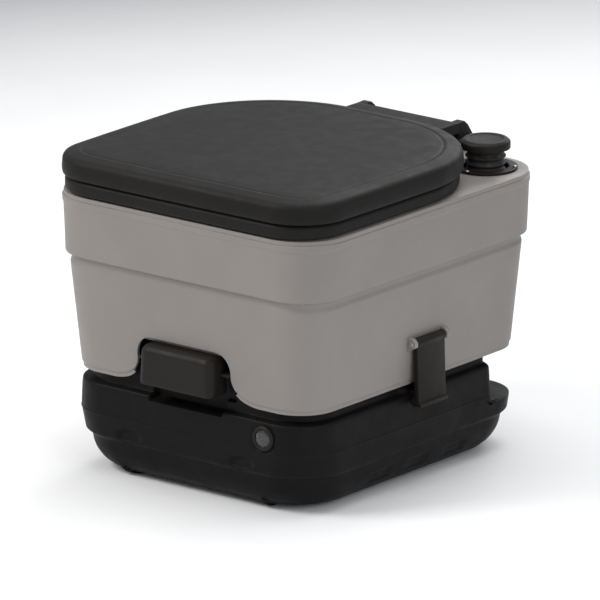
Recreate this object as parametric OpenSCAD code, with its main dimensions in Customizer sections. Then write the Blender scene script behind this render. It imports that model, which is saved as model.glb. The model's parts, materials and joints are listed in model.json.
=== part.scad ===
// Portable camp toilet: a removable waste tank with a slide valve below, a flush-water
// tank with the bowl, seat, lid and bellows pump above, held together by two side latches.
// Frame: +Z up, front towards -Y, origin on the floor under the middle of the box.

/* [Overall] */
// Width of the lid, the widest part
lid_w = 345; // [341:1:349]
// Front of the lid to the back of the hinge knuckles
depth = 400; // [396:1:404]
// Height with the lid closed
total_h = 330; // [328:1:332]

/* [Walls] */
// Wall of the blow-moulded tanks
wall = 3; // [2.6:0.1:3.2]
// Wall of the lid
lid_wall = 3.5; // [3:0.1:4]

/* [Valve and spout] */
// Radius of the hole from the bowl to the waste tank
outlet_r = 50; // [47:0.5:50]
// Outer radius of the pouring arm
arm_r = 20; // [19:0.5:20]
// Half width of the pull handle of the slide valve
handle_hw = 47; // [46:0.5:50]

/* [Seat and bowl] */
// Width of the seat's opening
seat_open_w = 196; // [190:1:200]
// Length of the seat's opening
seat_open_l = 228; // [222:1:232]

/* [Pump and filler] */
// Outer radius of the pump knob
knob_r = 25; // [23.5:0.5:26]
// Bore radius of the filler neck
filler_r = 17; // [15:0.5:17]

/* [Hidden] */

light = [0.60, 0.585, 0.565];
dark = [0.24, 0.235, 0.225];
black = [0.12, 0.118, 0.115];
rubber = [0.08, 0.08, 0.08];
steel = [0.70, 0.70, 0.71];

yf = -depth / 2;            // front of the lid
yh = depth / 2 - 6.5;       // hinge axis
yc = -5;                    // middle of both tanks
zh = 296;                   // hinge axis height
z_tank = 104;               // top of the waste tank's shoulder
z_plateau = 126;            // raised platform under the flush tank
z_skirt = 109;              // lower edge of the flush tank's skirt
z_rim = 284;                // top of the flush tank's casing
z_deck = 288;               // top of the deck
lid_z0 = 305;               // lower edge of the lid
vy = -30;                   // middle of the valve
sx = -108;                  // swivel of the pouring spout
sy = 147;
sz = 81;                    // height of the pouring arm
px = 124;                   // pump
py = 142;
fx = -124;                  // filler
fy = 142;
lx = 100;                   // level indicator
lz = 78;
vx = 114;                   // vent
vty = 40;
pz = 241;                   // height of the flush pipe
by = -13;                   // middle of the bowl's rear arc
pipe_a = atan2(by - py, -px);
pipe_l = sqrt(px * px + (py - by) * (py - by));

// One ring of a loft: width w, depth d, middle y, corner radius at the front rf and at the back rb
function ring(w, d, y, rf, rb, n) = [for (q = [0:3]) for (i = [0:n])
  let(r = q < 2 ? rb : rf, a = q * 90 + i * 90 / n)
  [(q == 0 || q == 3 ? 1 : -1) * (w / 2 - r) + r * cos(a), y + (q < 2 ? 1 : -1) * (d / 2 - r) + r * sin(a)]];

// Solid through rings given as [z, w, d, y, rf, rb], lowest first
module loft(rings, n = 8) {
  m = 4 * (n + 1);
  k = len(rings);
  polyhedron(
    points = [for (s = rings) for (p = ring(s[1], s[2], s[3], s[4], s[5], n)) [p[0], p[1], s[0]]],
    faces = concat([[for (i = [0:m - 1]) i]], [[for (i = [0:m - 1]) (k - 1) * m + m - 1 - i]],
      [for (j = [0:k - 2]) for (i = [0:m - 1]) [j * m + i, (j + 1) * m + i, (j + 1) * m + (i + 1) % m]],
      [for (j = [0:k - 2]) for (i = [0:m - 1]) [j * m + i, (j + 1) * m + (i + 1) % m, j * m + (i + 1) % m]]));
}

// The same rings pulled in by t all round
function inset(rings, t) = [for (s = rings) [s[0], s[1] - 2 * t, s[2] - 2 * t, s[3], max(s[4] - t, 4), max(s[5] - t, 4)]];

// Flat plate with round corners, in exact arcs
module rplate(w, d, y, r, z, h) {
  translate([0, y, z]) linear_extrude(h) union() {
    square([w - 2 * r, d], center = true);
    square([w, d - 2 * r], center = true);
    for (a = [-1, 1]) for (b = [-1, 1]) translate([a * (w / 2 - r), b * (d / 2 - r)]) circle(r, $fn = 64);
  }
}

// Oval with straight sides, in exact arcs: width w, length l
module oval(w, l) {
  square([w, l - w], center = true);
  for (b = [-1, 1]) translate([0, b * (l - w) / 2]) circle(w / 2, $fn = 96);
}

module box(x0, y0, z0, x1, y1, z1) translate([x0, y0, z0]) cube([x1 - x0, y1 - y0, z1 - z0]);
module xcyl(x0, x1, y, z, r, fn = 64) translate([x0, y, z]) rotate([0, 90, 0]) cylinder(r = r, h = x1 - x0, $fn = fn);
module ycyl(y0, y1, x, z, r, fn = 64) translate([x, y0, z]) rotate([-90, 0, 0]) cylinder(r = r, h = y1 - y0, $fn = fn);
module zcyl(z0, z1, x, y, r, fn = 64) translate([x, y, z0]) cylinder(r = r, h = z1 - z0, $fn = fn);

// ---------- waste tank ----------
tank_rings = [
  [3, lid_w - 83, 306, yc, 62, 62], [6, lid_w - 69, 320, yc, 66, 66], [13, lid_w - 54, 335, yc, 70, 70],
  [24, lid_w - 44, 345, yc, 72, 72], [36, lid_w - 40, 349, yc, 72, 72], [39, lid_w - 35, 354, yc, 70, 70],
  [64, lid_w - 31, 358, yc, 64, 62], [92, lid_w - 35, 354, yc, 56, 56], [101, lid_w - 39, 350, yc, 52, 52],
  [z_tank, lid_w - 47, 342, yc, 49, 49], [z_plateau - 3, lid_w - 51, 338, yc, 46, 46], [z_plateau, lid_w - 57, 332, yc, 43, 43]];
tank_in = [
  [6, lid_w - 89, 300, yc, 59, 59], [9, lid_w - 77, 312, yc, 62, 62], [15, lid_w - 60, 329, yc, 67, 67],
  [24, lid_w - 50, 339, yc, 69, 69], [36, lid_w - 46, 343, yc, 69, 69], [41, lid_w - 41, 348, yc, 67, 67],
  [64, lid_w - 37, 352, yc, 61, 59], [92, lid_w - 41, 348, yc, 53, 53], [101, lid_w - 46, 343, yc, 49, 49],
  [104, lid_w - 53, 336, yc, 46, 46], [z_plateau - wall, lid_w - 58, 331, yc, 43, 43]];
rec_y = 117;     // front wall of the recess for the spout
rec_z = 56;      // floor of that recess

module lug(s) // ledge on the tank's side that a latch hooks under
  translate([0, 20, 0]) rotate([90, 0, 0]) linear_extrude(40)
    polygon([[s * 150, 101], [s * 157, 101], [s * 160.5, 99], [s * 160.5, 95.6], [s * 155.2, 90.3], [s * 150, 90.3]]);

module waste_tank() color(black) {
  difference() {
    union() {
      difference() {
        loft(tank_rings);
        box(-200, rec_y, rec_z, 200, 220, 200);                 // room for the spout
        box(-46, -220, 86, 46, yc - 163, 140);                  // finger scoop under the valve handle
        box(-58, -220, z_tank + 0.5, 58, yc - 164.5, 140);      // room behind the handle
      }
      zcyl(rec_z - 2, 68, sx, sy, 19.95);                       // neck that the spout turns on
      lug(1);
      lug(-1);
    }
    difference() {
      loft(tank_in);
      box(-200, rec_y - wall, rec_z - wall, 200, 220, 200);
      box(-46 - wall, -220, 86 - wall, 46 + wall, yc - 163 + wall, 140);
      box(-58 - wall, -220, z_tank + 0.5 - wall, 58 + wall, yc - 164.5 + wall, 140);
      ycyl(-190, -174, lx, lz, 14);
    }
    zcyl(40, 80, sx, sy, 16);
    zcyl(z_plateau - 20, z_plateau + 5, 0, vy, 60);
    zcyl(z_plateau - 20, z_plateau + 5, vx, vty, 8);
    ycyl(-200, -160, lx, lz, 9);
    ycyl(-200, ly + 0.4, lx, lz, 13.2);
  }
}

module rubber_feet() color(rubber)
  for (a = [-1, 1]) for (b = [-1, 1]) translate([a * 96, yc + b * 118, 0]) {
    cylinder(r = 15, h = 3, $fn = 64);
  }

// Slide valve screwed to the tank's platform
module valve_frame() color(black) {
  difference() {
    union() {
      rplate(160, 186, -37, 14, z_plateau, 5);
      zcyl(z_plateau - 14, z_plateau + 1, 0, vy, 59.5);
      box(-70, -130, z_plateau + 4.5, -59.5, 56, z_plateau + 10);
      box(59.5, -130, z_plateau + 4.5, 70, 56, z_plateau + 10);
      box(-70, 36, z_plateau + 4.5, 70, 56, z_plateau + 10);
    }
    zcyl(90, 140, 0, vy, outlet_r);
    difference() { zcyl(z_plateau + 3, z_plateau + 6, 0, vy, 57); zcyl(90, 140, 0, vy, 52); }
    for (p = screw_at) zcyl(z_plateau - 5, z_plateau + 20, p[0], p[1], 2.2, 32);
  }
}
screw_at = [for (x = [-66.6, 66.6]) for (y = [-118, -30, 46]) [x, y]];

module blade_seal() color(rubber) difference() {
  zcyl(z_plateau + 3, z_plateau + 5.8, 0, vy, 56.8);
  zcyl(z_plateau, z_plateau + 9, 0, vy, 52.2);
}

module valve_cover() color(black) difference() {
  union() {
    rplate(144, 186, -37, 8, z_plateau + 10, 3);
    zcyl(z_plateau + 12, z_plateau + 14.5, 0, vy, 62.4);
  }
  zcyl(90, 160, 0, vy, outlet_r);
  difference() { zcyl(z_plateau + 12, z_plateau + 16, 0, vy, 60.2); zcyl(90, 160, 0, vy, 51.8); }
  for (p = screw_at) zcyl(z_plateau, z_plateau + 20, p[0], p[1], 2.2, 32);
}

module bowl_seal() color(rubber) difference() {
  union() {
    zcyl(z_plateau + 12, z_plateau + 15, 0, vy, 60);
    zcyl(z_plateau + 15, z_plateau + 17, 0, vy, 57);
  }
  zcyl(90, 160, 0, vy, 52);
}

module valve_screws() color(steel) for (p = screw_at) {
  difference() {
    zcyl(z_plateau + 13, z_plateau + 15.4, p[0], p[1], 4, 48);
    box(p[0] - 2.6, p[1] - 0.5, z_plateau + 14.2, p[0] + 2.6, p[1] + 0.5, z_plateau + 16);
    box(p[0] - 0.5, p[1] - 2.6, z_plateau + 14.2, p[0] + 0.5, p[1] + 2.6, z_plateau + 16);
  }
  zcyl(z_plateau + 1, z_plateau + 13.2, p[0], p[1], 2, 32);
}

module valve_blade() color(dark) union() {
  difference() {
    box(-58, yf + 16, z_plateau + 6, 58, vy, z_plateau + 9);
    for (x = [-30, 30]) zcyl(z_plateau, z_plateau + 12, x, yf + 22, 2.1, 32);
  }
  intersection() {
    zcyl(z_plateau + 6, z_plateau + 9, 0, vy, 58, 96);
    box(-58, vy - 1, z_plateau, 58, vy + 60, z_plateau + 12);
  }
}

module valve_handle() color(dark) difference() {
  loft([[106.5, 2 * handle_hw - 4, 26, yf + 14, 5, 4], [109, 2 * handle_hw, 28, yf + 14, 8, 4],
    [146, 2 * handle_hw - 2, 27, yf + 14, 9, 4], [150, 2 * handle_hw - 6, 23, yf + 14.5, 9, 4], [152, 2 * handle_hw - 14, 16, yf + 15, 7, 4]], 6);
  // finger room behind the front plate, and a pocket above the web that holds the blade
  box(-handle_hw + 5, yf + 7, 100, handle_hw - 5, yf + 40, z_plateau + 3);
  box(-handle_hw + 5, yf + 7, z_plateau + 12, handle_hw - 5, yf + 40, 147);
  box(-58, yf + 16, z_plateau + 6, 58, yf + 60, z_plateau + 9);
  for (x = [-30, 30]) zcyl(z_plateau, z_plateau + 20, x, yf + 22, 2.1, 32);
}

module handle_screws() color(steel) for (x = [-30, 30]) {
  zcyl(z_plateau + 12, z_plateau + 13.8, x, yf + 22, 3.4, 48);
  zcyl(z_plateau + 3.2, z_plateau + 12.1, x, yf + 22, 2, 32);
}

// ---------- pouring spout ----------
module pour_spout() color(black) difference() {
  union() {
    zcyl(rec_z + 1.5, sz + 21, sx, sy, 25, 96);
    xcyl(sx, 84, sy, sz, arm_r, 96);
    xcyl(62, 66, sy, sz, arm_r + 2.4, 96);
  }
  zcyl(rec_z, 68.6, sx, sy, 20);
  zcyl(68, sz + 16, sx, sy, 17);
  xcyl(sx, 90, sy, sz, 16);
}

module spout_o_ring() color(rubber) difference() {
  zcyl(rec_z + 0.2, rec_z + 1.4, sx, sy, 24);
  zcyl(rec_z, rec_z + 2, sx, sy, 20);
}

module spout_gasket() color(rubber) difference() {
  xcyl(84.2, 86.4, sy, sz, 19.4);
  xcyl(80, 90, sy, sz, 13);
}

module spout_cap() color(dark) difference() {
  union() {
    xcyl(69, 90, sy, sz, 22.6, 96);
    box(89, sy - 17, sz - 3.5, 98, sy + 17, sz + 3.5);
    for (a = [0:30:359]) translate([69, sy, sz]) rotate([a, 0, 0]) translate([0, 22.4, 0]) rotate([0, 90, 0]) cylinder(r = 1.4, h = 19, $fn = 24);
  }
  xcyl(68, 86.6, sy, sz, 20.5);
}

// ---------- vent ----------
module vent_body() color(dark) difference() {
  union() {
    zcyl(z_plateau, z_plateau + 4, vx, vty, 14);
    zcyl(z_plateau - 12, z_plateau + 1, vx, vty, 7.8);
    zcyl(z_plateau + 3, z_plateau + 8, vx, vty, 11.5);
  }
  zcyl(z_plateau - 8, z_plateau + 20, vx, vty, 6.2);
  zcyl(z_plateau - 20, z_plateau + 20, vx, vty, 2.4, 32);
}

module vent_spring() color(steel) difference() {
  zcyl(z_plateau - 7.8, z_plateau + 3.9, vx, vty, 5.4, 48);
  zcyl(z_plateau - 20, z_plateau + 20, vx, vty, 4.2, 48);
}

module vent_button() color([0.62, 0.16, 0.12]) union() {
  zcyl(z_plateau + 4, z_plateau + 15, vx, vty, 6, 64);
  zcyl(z_plateau - 6, z_plateau + 5, vx, vty, 2.2, 32);
}

// ---------- level indicator ----------
ly = -182.6;     // outer face of the tank's front wall at the indicator
module level_bezel() color(dark) difference() {
  union() {
    ycyl(ly - 3, ly + 0.4, lx, lz, 13);
    ycyl(ly - 1, ly + 9, lx, lz, 8.8);
  }
  ycyl(ly - 1.2, ly + 20, lx, lz, 7);
  ycyl(ly - 20, ly - 1, lx, lz, 9);
}
module level_lens() color([0.75, 0.8, 0.82, 0.5]) ycyl(ly - 2.6, ly - 1.4, lx, lz, 8.8);
module level_float() color([0.75, 0.2, 0.12]) union() {
  ycyl(ly - 0.8, ly + 17, lx, lz, 2.2, 32);
  ycyl(ly - 0.8, ly + 0.2, lx, lz, 6.4);
  translate([lx, 0, lz]) rotate([0, -50, 0]) union() {
    box(-28, ly + 13, -2, 0, ly + 16, 2);
    ycyl(ly + 12, ly + 26, -30, 0, 9);
  }
}

// ---------- flush tank ----------
case_rings = [
  [z_skirt, lid_w - 35.6, 353.4, yc, 43, 43], [z_skirt + 3, lid_w - 34.8, 354.2, yc, 43.5, 43.5], [156, lid_w - 29.4, 360, yc, 45.5, 45.5],
  [222, lid_w - 14.4, 373.2, yc, 48, 48],
  [225.5, lid_w - 7.6, 378.6, yc, 49.5, 49.5], [z_rim, lid_w - 4, 382, yc, 51, 51]];
case_in = [
  [z_skirt - 1, lid_w - 42.8, 346.2, yc, 44, 44], [z_rim + 1, lid_w - 13.5, 373.5, yc, 53.5, 53.5]];
grip_z = 244;

// Half outline of the arched notch, from its foot up to its top
notch = [[92, 90], [92, 108.9], [82, 110.2], [73, 113], [66.2, 117.6], [61.6, 123.6], [59.3, 130.6], [59.2, 138], [57, 144.5], [53, 149.6], [47.5, 152.9], [41, 154]];

module side(s) mirror([s < 0 ? 1 : 0, 0, 0]) children();

module upper_casing() color(light) difference() {
  union() {
    difference() {
      loft(case_rings);
      loft(case_in);
    }
    for (s = [-1, 1]) side(s) {
      difference() {                                            // pocket of the carrying grip
        intersection() { box(143, -66, grip_z - 14, 190, 56, grip_z + 14); loft(case_rings); }
        box(146, -63, grip_z - 11, 190, 53, grip_z + 11);
      }
      for (y = [-29, 23.5]) intersection() {                    // ears of the latch's pin
        box(156, y, 141, 169, y + 5.5, 158);
        union() { ycyl(y, y + 5.5, 163.5, 150, 5.5); box(150, y, 143, 163.5, y + 5.5, 157); }
      }
    }
  }
  for (s = [-1, 1]) side(s) {
    box(146, -63, grip_z - 11, 190, 53, grip_z + 11);
    ycyl(-40, 40, 163.5, 150, 2.55, 48);
  }
  translate([0, -150, 0]) rotate([90, 0, 0]) linear_extrude(100)  // arched notch for the valve handle
    polygon([for (s = [1, -1]) for (p = s > 0 ? notch : [for (i = [len(notch) - 1:-1:0]) notch[i]]) [s * p[0], p[1]]]);
  box(-70, 170, 230, -50, 200, 274);                            // window of the water gauge
}

con_x = 68;      // half width of the room for the seat's tongue, less its clearance

module top_deck() color(light) difference() {
  union() {
    rplate(lid_w - 4, 382, yc, 51, z_rim, z_deck - z_rim);
    difference() {                                              // rib that locates the deck in the casing
      rplate(lid_w - 18, 369, yc, 52.5, 277, 8);
      rplate(lid_w - 23, 364, yc, 50.5, 270, 20);
    }
    for (s = [-1, 1]) side(s) for (x = [37, 65.5]) {            // hinge lugs
      xcyl(x, x + 6, yh, zh, 6.5);
      translate([x, 0, 0]) rotate([90, 0, 90]) linear_extrude(6) polygon([[168, z_rim + 1], [183, z_rim + 1], [yh + 5, zh - 4.1], [yh, zh], [yh - 4, zh + 5], [176, z_deck + 3]]);
    }
  }
  translate([0, -32, 270]) linear_extrude(30) oval(238, 278);
  for (s = [-1, 1]) side(s) xcyl(30, 100, yh, zh, 3.05, 48);
  zcyl(270, 310, fx, fy, 22);
  zcyl(270, 310, px, py, 27.4);
  for (a = [30, 150, 270]) zcyl(280, 310, px + 29.6 * cos(a), py + 29.6 * sin(a), 1.5, 24);
}

bowl_out = [
  [143.5, 108, 108, vy, 54, 54], [156, 108, 108, vy, 54, 54], [162, 122, 126, vy, 61, 61], [174, 156, 172, -31, 78, 78],
  [200, 190, 218, -32, 95, 95], [232, 218, 254, -32, 109, 109], [262, 235, 274, -32, 117.5, 117.5], [z_rim - 0.2, 242, 282, -32, 121, 121]];
function shrink(rings, t) = [for (s = rings) [s[0], s[1] - 2 * t, s[2] - 2 * t, s[3], s[4] - t, s[5] - t]];

module bowl() color([0.74, 0.73, 0.71]) difference() {
  union() {
    loft(bowl_out, 10);
    translate([0, -32, z_rim - 3]) linear_extrude(2.8) oval(262, 302);
  }
  bowl_space(3);
  along_pipe() xcyl(pipe_l - 125, pipe_l - 90, 0, pz, 5.3, 48);
}
module bowl_space(t) loft(concat([[140, 108 - 2 * t, 108 - 2 * t, vy, 54 - t, 54 - t]], shrink([for (i = [1:6]) bowl_out[i]], t),
  [[z_rim + 1, 242 - 2 * t, 282 - 2 * t, -32, 121 - t, 121 - t]]), 10);
module along_pipe() translate([px, py, 0]) rotate([0, 0, pipe_a]) children();

module tank_floor() color(light) difference() {
  union() {
    rplate(lid_w - 36.8, 352.1, yc, 49.5, 152, 3);
    for (x = [-118, 118]) for (y = [-138, 94]) zcyl(z_plateau, 153, x, y, 8.5, 48);   // feet that rest on the tank
  }
  zcyl(140, 170, 0, vy, 57.5);
}

module flush_pipe() color([0.85, 0.85, 0.83]) along_pipe() difference() {
  xcyl(12.02, pipe_l - 110.4, 0, pz, 5, 48);
  xcyl(5, pipe_l, 0, pz, 3.4, 48);
}

module flush_spreader() color([0.74, 0.73, 0.71]) intersection() {
  bowl_space(3.05);
  along_pipe() difference() {
    box(pipe_l - 125, -14, pz - 9, pipe_l - 95, 14, pz + 9);
    box(pipe_l - 125, -20, pz - 12, pipe_l - 98, 11, pz + 6.5);
  }
}

// ---------- bellows pump ----------
module pump_housing() color(dark) difference() {
  union() {
    zcyl(252, z_deck + 1, px, py, 27, 96);
    zcyl(z_deck, z_deck + 2.5, px, py, 32.4, 96);
  }
  zcyl(255, 310, px, py, 23.4, 96);
  zcyl(240, 260, px, py, 6, 48);
  for (a = [30, 150, 270]) zcyl(280, 310, px + 29.6 * cos(a), py + 29.6 * sin(a), 1.6, 24);
}
module pump_screws() color(steel) for (a = [30, 150, 270]) translate([px + 29.6 * cos(a), py + 29.6 * sin(a), 0]) {
  zcyl(z_deck + 2.5, z_deck + 3.8, 0, 0, 2.6, 32);
  zcyl(282, z_deck + 2.6, 0, 0, 1.5, 24);
}
module pump_valve_body() color(dark) difference() {
  union() {
    zcyl(pz - 10, 252, px, py, 12, 64);
    zcyl(251, 257, px, py, 5.95, 48);
  }
  zcyl(pz - 6, 260, px, py, 4.5, 48);
  zcyl(230, 240, px, py, 3.2, 48);
  along_pipe() xcyl(0, 20, 0, pz, 3.4, 48);
}
module suction_pipe() color([0.85, 0.85, 0.83]) difference() {
  union() { zcyl(158, pz - 10, px, py, 5, 48); zcyl(157, 166, px, py, 8, 48); }
  zcyl(150, 250, px, py, 3.2, 48);
  for (a = [0, 60, 120]) translate([px, py, 158]) rotate([0, 0, a]) translate([-9, -1, -2]) cube([18, 2, 6]);
}
// Folded wall of the bellows, radius against height
folds = 8;
bz0 = 255.1;
bz1 = 311.9;
fold_h = (bz1 - bz0) / folds;
bel_r = knob_r - 4;
module pump_bellows() color(rubber) translate([px, py, 0]) rotate_extrude($fn = 96) polygon(concat(
  [for (i = [0:folds - 1]) for (p = [[bel_r - 4, 0], [bel_r, 0.5]]) [p[0], bz0 + (i + p[1]) * fold_h]], [[bel_r - 4, bz1]],
  [[bel_r - 5.6, bz1]], [for (i = [folds - 1:-1:0]) for (p = [[bel_r - 1.6, 0.5], [bel_r - 5.6, 0]]) [p[0], bz0 + (i + p[1]) * fold_h]]));
module pump_knob() color(dark) translate([px, py, 0]) rotate_extrude($fn = 96) polygon([
  [0, 312], [knob_r - 2.6, 312], [knob_r - 2.6, 309], [knob_r, 309], [knob_r, 315], [knob_r - 1, 317.4], [knob_r - 4, 318.6], [0, 319]]);

// ---------- filler ----------
module filler_neck() color([0.80, 0.79, 0.77]) difference() {
  union() {
    zcyl(280, z_deck + 1, fx, fy, 21.9);
    zcyl(z_deck, z_deck + 2.5, fx, fy, 29);
    zcyl(z_deck, 300, fx, fy, 20);
  }
  zcyl(270, 320, fx, fy, filler_r);
}
module filler_strainer() color([0.80, 0.79, 0.77]) difference() {
  union() { zcyl(250, 301, fx, fy, filler_r - 0.4); zcyl(300, 301, fx, fy, 19.6); }
  zcyl(252, 330, fx, fy, filler_r - 2);
  for (a = [0:45:179]) translate([fx, fy, 0]) rotate([0, 0, a]) for (z = [256, 266, 276]) box(-20, -2, z, 20, 2, z + 6);
}
module filler_gasket() color(rubber) difference() {
  zcyl(301.2, 303, fx, fy, 19.6);
  zcyl(300, 320, fx, fy, filler_r - 2);
}
module filler_cap() color(dark) difference() {
  union() {
    zcyl(292.5, 308, fx, fy, 25.5, 96);
    box(fx - 18, fy - 3, 307, fx + 18, fy + 3, 313);
    for (a = [0:20:359]) translate([fx, fy, 292.5]) rotate([0, 0, a]) translate([25.4, 0, 0]) cylinder(r = 1.5, h = 14, $fn = 24);
  }
  zcyl(290, 303.2, fx, fy, 20.5);
}

module water_gauge() color([0.8, 0.85, 0.88, 0.5]) intersection() {
  difference() { loft(case_rings); loft(inset(case_rings, 2.4)); }
  box(-69.7, 160, 230.3, -50.3, 200, 273.7);
}

// ---------- hinge, seat, lid ----------
module hinge_pins() color(steel) for (s = [-1, 1]) side(s) union() {
  xcyl(35.5, 73, yh, zh, 3, 48);
  xcyl(72, 74, yh, zh, 4.6, 48);
}

module seat() color(dark) difference() {
  union() {
    loft([[290, lid_w - 14, 323, yf + 166, 46, 126], [293, lid_w - 8, 329, yf + 166, 50, 130],
      [301, lid_w - 8, 329, yf + 166, 50, 130], [304, lid_w - 18, 319, yf + 166, 46, 126]], 14);
    box(-con_x + 3, 60, 291, con_x - 3, 174, 301.5);            // tongue that reaches back to the hinge
    for (s = [-1, 1]) side(s) {
      xcyl(43.5, 53.5, yh, zh, 6.5);
      translate([43.5, 0, 0]) rotate([90, 0, 90]) linear_extrude(10) polygon([[170, 291], [yh - 4, zh - 5.1], [yh, zh], [yh - 4, zh + 5.1], [170, 301.5]]);
    }
  }
  translate([0, -46, 280]) linear_extrude(40) oval(seat_open_w, seat_open_l);
  for (s = [-1, 1]) side(s) xcyl(30, 100, yh, zh, 3.05, 48);
}

bump_at = [[-142, -150], [142, -150], [-122, 60], [122, 60]];
module seat_bumpers() color(rubber) for (p = bump_at) zcyl(z_deck, 290, p[0], p[1], 8, 48);
module lid_bumpers() color(rubber) for (p = bump_at) zcyl(304.1, 324.2, p[0] * 0.97, p[1], 6, 48);

lid_d = depth - 66;                     // front to back of the lid, without its tongue
lid_y = yf + lid_d / 2;                 // middle of the lid
lid_rings = [
  [lid_z0, lid_w - 3, lid_d - 3, lid_y, 45, 131], [lid_z0 + 3, lid_w, lid_d, lid_y, 48, 134], [total_h - 12, lid_w - 0.6, lid_d - 0.6, lid_y, 48, 134],
  [total_h - 7, lid_w - 5, lid_d - 5, lid_y, 46, 132], [total_h - 3.4, lid_w - 14, lid_d - 14, lid_y, 43, 128],
  [total_h - 1.4, lid_w - 32, lid_d - 32, lid_y, 36, 120], [total_h, lid_w - 80, lid_d - 80, lid_y, 24, 106]];

module lid() color(dark) difference() {
  union() {
    difference() {
      loft(lid_rings, 14);
      loft([[lid_z0 - 1, lid_w - 3 - 2 * lid_wall, lid_d - 3 - 2 * lid_wall, lid_y, 42, 128],
        [total_h - 12, lid_w - 2 * lid_wall - 0.8, lid_d - 2 * lid_wall - 0.8, lid_y, 44.6, 130.6],
        [total_h - 7.5, lid_w - 2 * lid_wall - 8, lid_d - 2 * lid_wall - 8, lid_y, 42, 128],
        [total_h - 5.6, lid_w - 2 * lid_wall - 22, lid_d - 2 * lid_wall - 22, lid_y, 36, 122]], 14);
    }
    difference() {                                              // tongue that reaches back to the hinge
      box(-65, lid_y + lid_d / 2 - 4.5, lid_z0 + 0.5, 65, 176, 317.5);
      box(-61, lid_y + lid_d / 2 + 3, lid_z0 - 1, 61, 172, 314);
    }
    for (s = [-1, 1]) side(s) {
      xcyl(54, 65, yh, zh, 6.5);
      translate([54, 0, 0]) rotate([90, 0, 90]) linear_extrude(11) polygon([[173, lid_z0 + 2], [173, 317], [185, 317], [yh + 5, zh + 4.1], [yh, zh], [yh - 5, zh - 4.1]]);
    }
  }
  for (s = [-1, 1]) side(s) xcyl(30, 100, yh, zh, 3.05, 48);
}

// ---------- side latches ----------
module latch(s) color(dark) side(s) difference() {
  union() {
    translate([0, 22, 0]) rotate([90, 0, 0]) linear_extrude(44)
      polygon([[161.4, 146], [166.4, 146], [167.2, 120], [168.4, 86], [166, 84.4], [161.4, 84.4], [157, 87.4], [157, 90.4], [162.2, 95.6], [161.6, 120]]);
    ycyl(-22, 22, 163.5, 150, 5);
    box(166, -22, 84.4, 171, 22, 88.4);
  }
  ycyl(-40, 40, 163.5, 150, 2.55, 48);
}
module latch_left() latch(-1);
module latch_right() latch(1);
module latch_pins() color(steel) for (s = [-1, 1]) side(s) ycyl(-30, 30, 163.5, 150, 2.5, 48);

waste_tank();
rubber_feet();
valve_frame();
blade_seal();
valve_cover();
valve_screws();
bowl_seal();
valve_blade();
valve_handle();
handle_screws();
pour_spout();
spout_o_ring();
spout_gasket();
spout_cap();
vent_body();
vent_spring();
vent_button();
level_bezel();
level_lens();
level_float();
upper_casing();
top_deck();
bowl();
tank_floor();
flush_pipe();
flush_spreader();
pump_housing();
pump_valve_body();
suction_pipe();
pump_screws();
pump_bellows();
pump_knob();
filler_neck();
filler_strainer();
filler_gasket();
filler_cap();
water_gauge();
hinge_pins();
seat();
seat_bumpers();
lid();
lid_bumpers();
latch_left();
latch_right();
latch_pins();
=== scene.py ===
import json
import math
import bpy
import bmesh
import numpy as np
from mathutils import Vector, Matrix

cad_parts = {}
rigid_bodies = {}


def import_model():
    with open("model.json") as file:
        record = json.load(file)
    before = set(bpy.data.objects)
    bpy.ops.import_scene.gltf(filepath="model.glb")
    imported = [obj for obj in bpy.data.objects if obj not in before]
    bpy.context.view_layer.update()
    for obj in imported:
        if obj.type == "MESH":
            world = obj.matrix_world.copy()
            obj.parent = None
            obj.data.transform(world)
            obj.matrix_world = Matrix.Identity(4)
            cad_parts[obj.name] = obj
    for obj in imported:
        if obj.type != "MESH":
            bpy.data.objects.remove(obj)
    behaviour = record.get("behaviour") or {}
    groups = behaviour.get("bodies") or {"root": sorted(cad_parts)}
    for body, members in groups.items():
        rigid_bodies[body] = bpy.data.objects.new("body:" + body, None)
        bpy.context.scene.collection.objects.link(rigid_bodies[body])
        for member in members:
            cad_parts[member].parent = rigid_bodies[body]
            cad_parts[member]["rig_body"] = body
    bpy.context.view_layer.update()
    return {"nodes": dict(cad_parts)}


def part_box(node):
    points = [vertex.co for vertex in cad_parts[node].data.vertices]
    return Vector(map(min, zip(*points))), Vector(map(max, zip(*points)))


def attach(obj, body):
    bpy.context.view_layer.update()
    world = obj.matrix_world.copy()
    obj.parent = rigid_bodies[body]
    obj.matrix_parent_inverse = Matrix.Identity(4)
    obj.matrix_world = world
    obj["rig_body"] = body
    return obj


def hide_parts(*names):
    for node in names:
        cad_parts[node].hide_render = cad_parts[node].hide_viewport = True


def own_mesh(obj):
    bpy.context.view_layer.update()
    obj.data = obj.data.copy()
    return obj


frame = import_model()
scene = bpy.context.scene
MM = 0.001

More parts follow.
